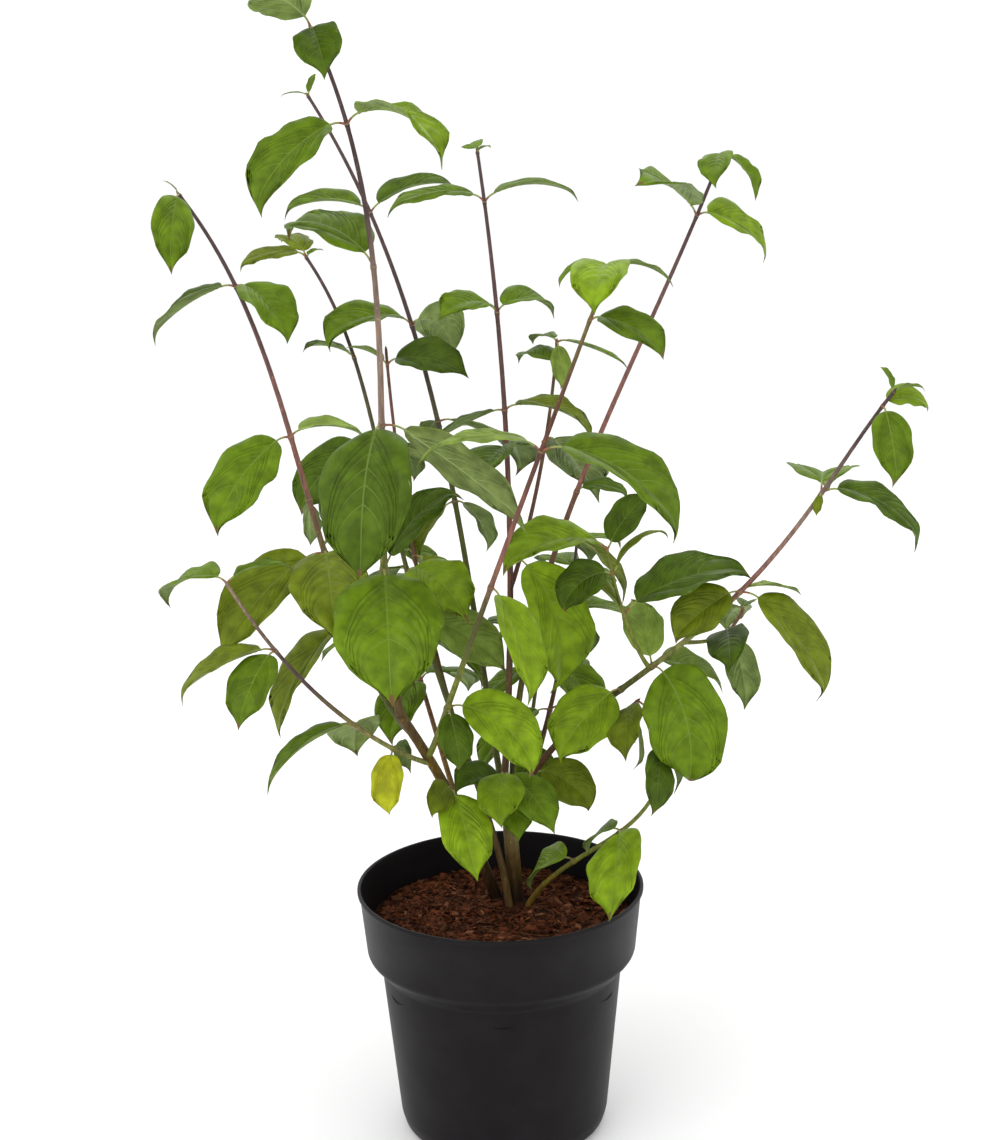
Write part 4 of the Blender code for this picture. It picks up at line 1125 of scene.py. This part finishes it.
def lie_at(chance):
    """A place on the mulch that is clear of the wall and the stems."""
    while True:
        radius = (inner_radius(GROUND) - 4) * math.sqrt(chance.random())
        angle = chance.uniform(0, math.tau)
        spot = Vector((radius * math.cos(angle), radius * math.sin(angle), 0))
        spot.z = mulch_height(spot.x, spot.y)
        if all((Vector((foot.x, foot.y, spot.z)) - spot).length > reach + FOOT_CLEAR
               for foot, reach in stem_feet()):
            return spot, (inner_radius(GROUND) - 1.5) - radius


def mulch_chips():
    """Torn chips of bark, and the paler fibres among them."""
    chance = random.Random("chips")
    tones = [chip_finish(f"chip_{name}", colour) for name, colour in (
        ("dark", (0.040, 0.011, 0.004)), ("russet", (0.120, 0.033, 0.012)),
        ("brown", (0.080, 0.026, 0.011)), ("tan", (0.200, 0.082, 0.036)))]
    corners = [(x, y, z) for x in (-0.5, 0.5) for y in (-0.5, 0.5) for z in (-0.5, 0.5)]
    sides = [(0, 1, 3, 2), (4, 6, 7, 5), (0, 4, 5, 1), (2, 3, 7, 6), (0, 2, 6, 4), (1, 5, 7, 3)]
    piece = Piece("bark_chips")
    for chip in range(CHIPS):
        length = chance.uniform(*CHIP_LENGTH) * chance.uniform(0.5, 1)
        size = Vector((length, length * chance.uniform(0.22, 0.55), length * chance.uniform(0.08, 0.22)))
        spot, room = lie_at(chance)
        if room < length / 2:
            continue
        turn = (Matrix.Rotation(chance.uniform(0, math.tau), 3, "Z")
                @ Matrix.Rotation(math.radians(chance.gauss(0, 17)), 3, "Y")
                @ Matrix.Rotation(math.radians(chance.gauss(0, 24)), 3, "X"))
        spot.z += chance.uniform(-0.6, 1.9)
        points = []
        for corner in corners:
            jag = Vector([value * chance.uniform(0.55, 1.15) for value in corner])
            points.append(spot + turn @ Vector([a * b for a, b in zip(jag, size)]))
        piece.add(points, sides, tones[chance.choices(range(4), (5, 5, 6, 1))[0]])
    piece.make("bark_chips", "bark_mulch", smooth=False)
    fibres = Piece("bark_fibres")
    for strand in range(FIBRES):
        spot, room = lie_at(chance)
        length = chance.uniform(*FIBRE_LENGTH)
        if room < length / 2:
            continue
        way = heading(chance.uniform(0, 360), chance.uniform(-4, 10))
        bend = heading(chance.uniform(0, 360), 0) * length * 0.18
        centres = [spot + Vector((0, 0, 1.6)) + way * length * (step / 5 - 0.5)
                   + bend * (1 - (2 * step / 5 - 1) ** 2) for step in range(6)]
        points = []
        for step, (centre, (side, other)) in enumerate(zip(centres, frames_along(centres))):
            radius = 0.32 * (1 - 0.6 * abs(2 * step / 5 - 1))
            points += [centre + (side * math.cos(angle) + other * math.sin(angle)) * radius
                       for angle in (0, math.tau / 3, 2 * math.tau / 3)]
        faces = ring_faces(6, 3) + [(2, 1, 0), (15, 16, 17)]
        fibres.add(points, faces, tones[chance.choices((1, 2, 3), (3, 3, 4))[0]])
    fibres.make("bark_chips", "bark_mulch")


def studio():
    """Pale floor, white surroundings and soft lights."""
    floor = bpy.data.meshes.new("studio_floor")
    reach = 30.0
    floor.from_pydata([(-reach, -reach, 0), (reach, -reach, 0), (reach, reach, 0), (-reach, reach, 0)],
                      [], [(0, 1, 2, 3)])
    floor.materials.append(floor_finish())
    ground = bpy.data.objects.new("studio_floor", floor)
    bpy.context.scene.collection.objects.link(ground)
    world = bpy.data.worlds.new("studio")
    world.use_nodes = True
    world.node_tree.nodes["Background"].inputs["Color"].default_value = (1, 1, 1, 1)
    world.node_tree.nodes["Background"].inputs["Strength"].default_value = 1.12
    bpy.context.scene.view_settings.view_transform = "Standard"
    bpy.context.scene.world = world
    for name, place, power, size in (("key", (-1.3, -1.5, 2.0), 20, 2.0), ("fill", (1.8, -1.2, 1.2), 4, 1.5),
                                     ("back", (0.4, 1.8, 1.9), 9, 1.8)):
        lamp = bpy.data.lights.new(name, "AREA")
        lamp.energy, lamp.size = power, size
        held = bpy.data.objects.new(name, lamp)
        held.location = place
        held.rotation_euler = (Vector((0, 0, 0.35)) - Vector(place)).to_track_quat("-Z", "Y").to_euler()
        bpy.context.scene.collection.objects.link(held)


def camera():
    """The photograph's view, from its fitted distance, height, tilt and roll."""
    lens = bpy.data.cameras.new("camera")
    lens.lens, lens.sensor_width = 60.96, 36.0
    made = bpy.data.objects.new("camera", lens)
    tilt = Matrix.Rotation(math.radians(90 - 13.48), 4, "X")
    roll = Matrix.Rotation(-0.01874, 4, "Z")
    made.matrix_world = Matrix.Translation((0.0037, -1.2, 0.6713)) @ tilt @ roll
    bpy.context.scene.collection.objects.link(made)
    bpy.context.scene.camera = made


def main():
    camera()
    studio()
    pot()
    mulch_bed()
    mulch_chips()
    plant()
    for node in ("growing_medium",):
        medium = frame["nodes"][node]
        medium.data.materials.clear()
        medium.data.materials.append(chip_finish("peat", (0.030, 0.020, 0.015), 0.95))


main()
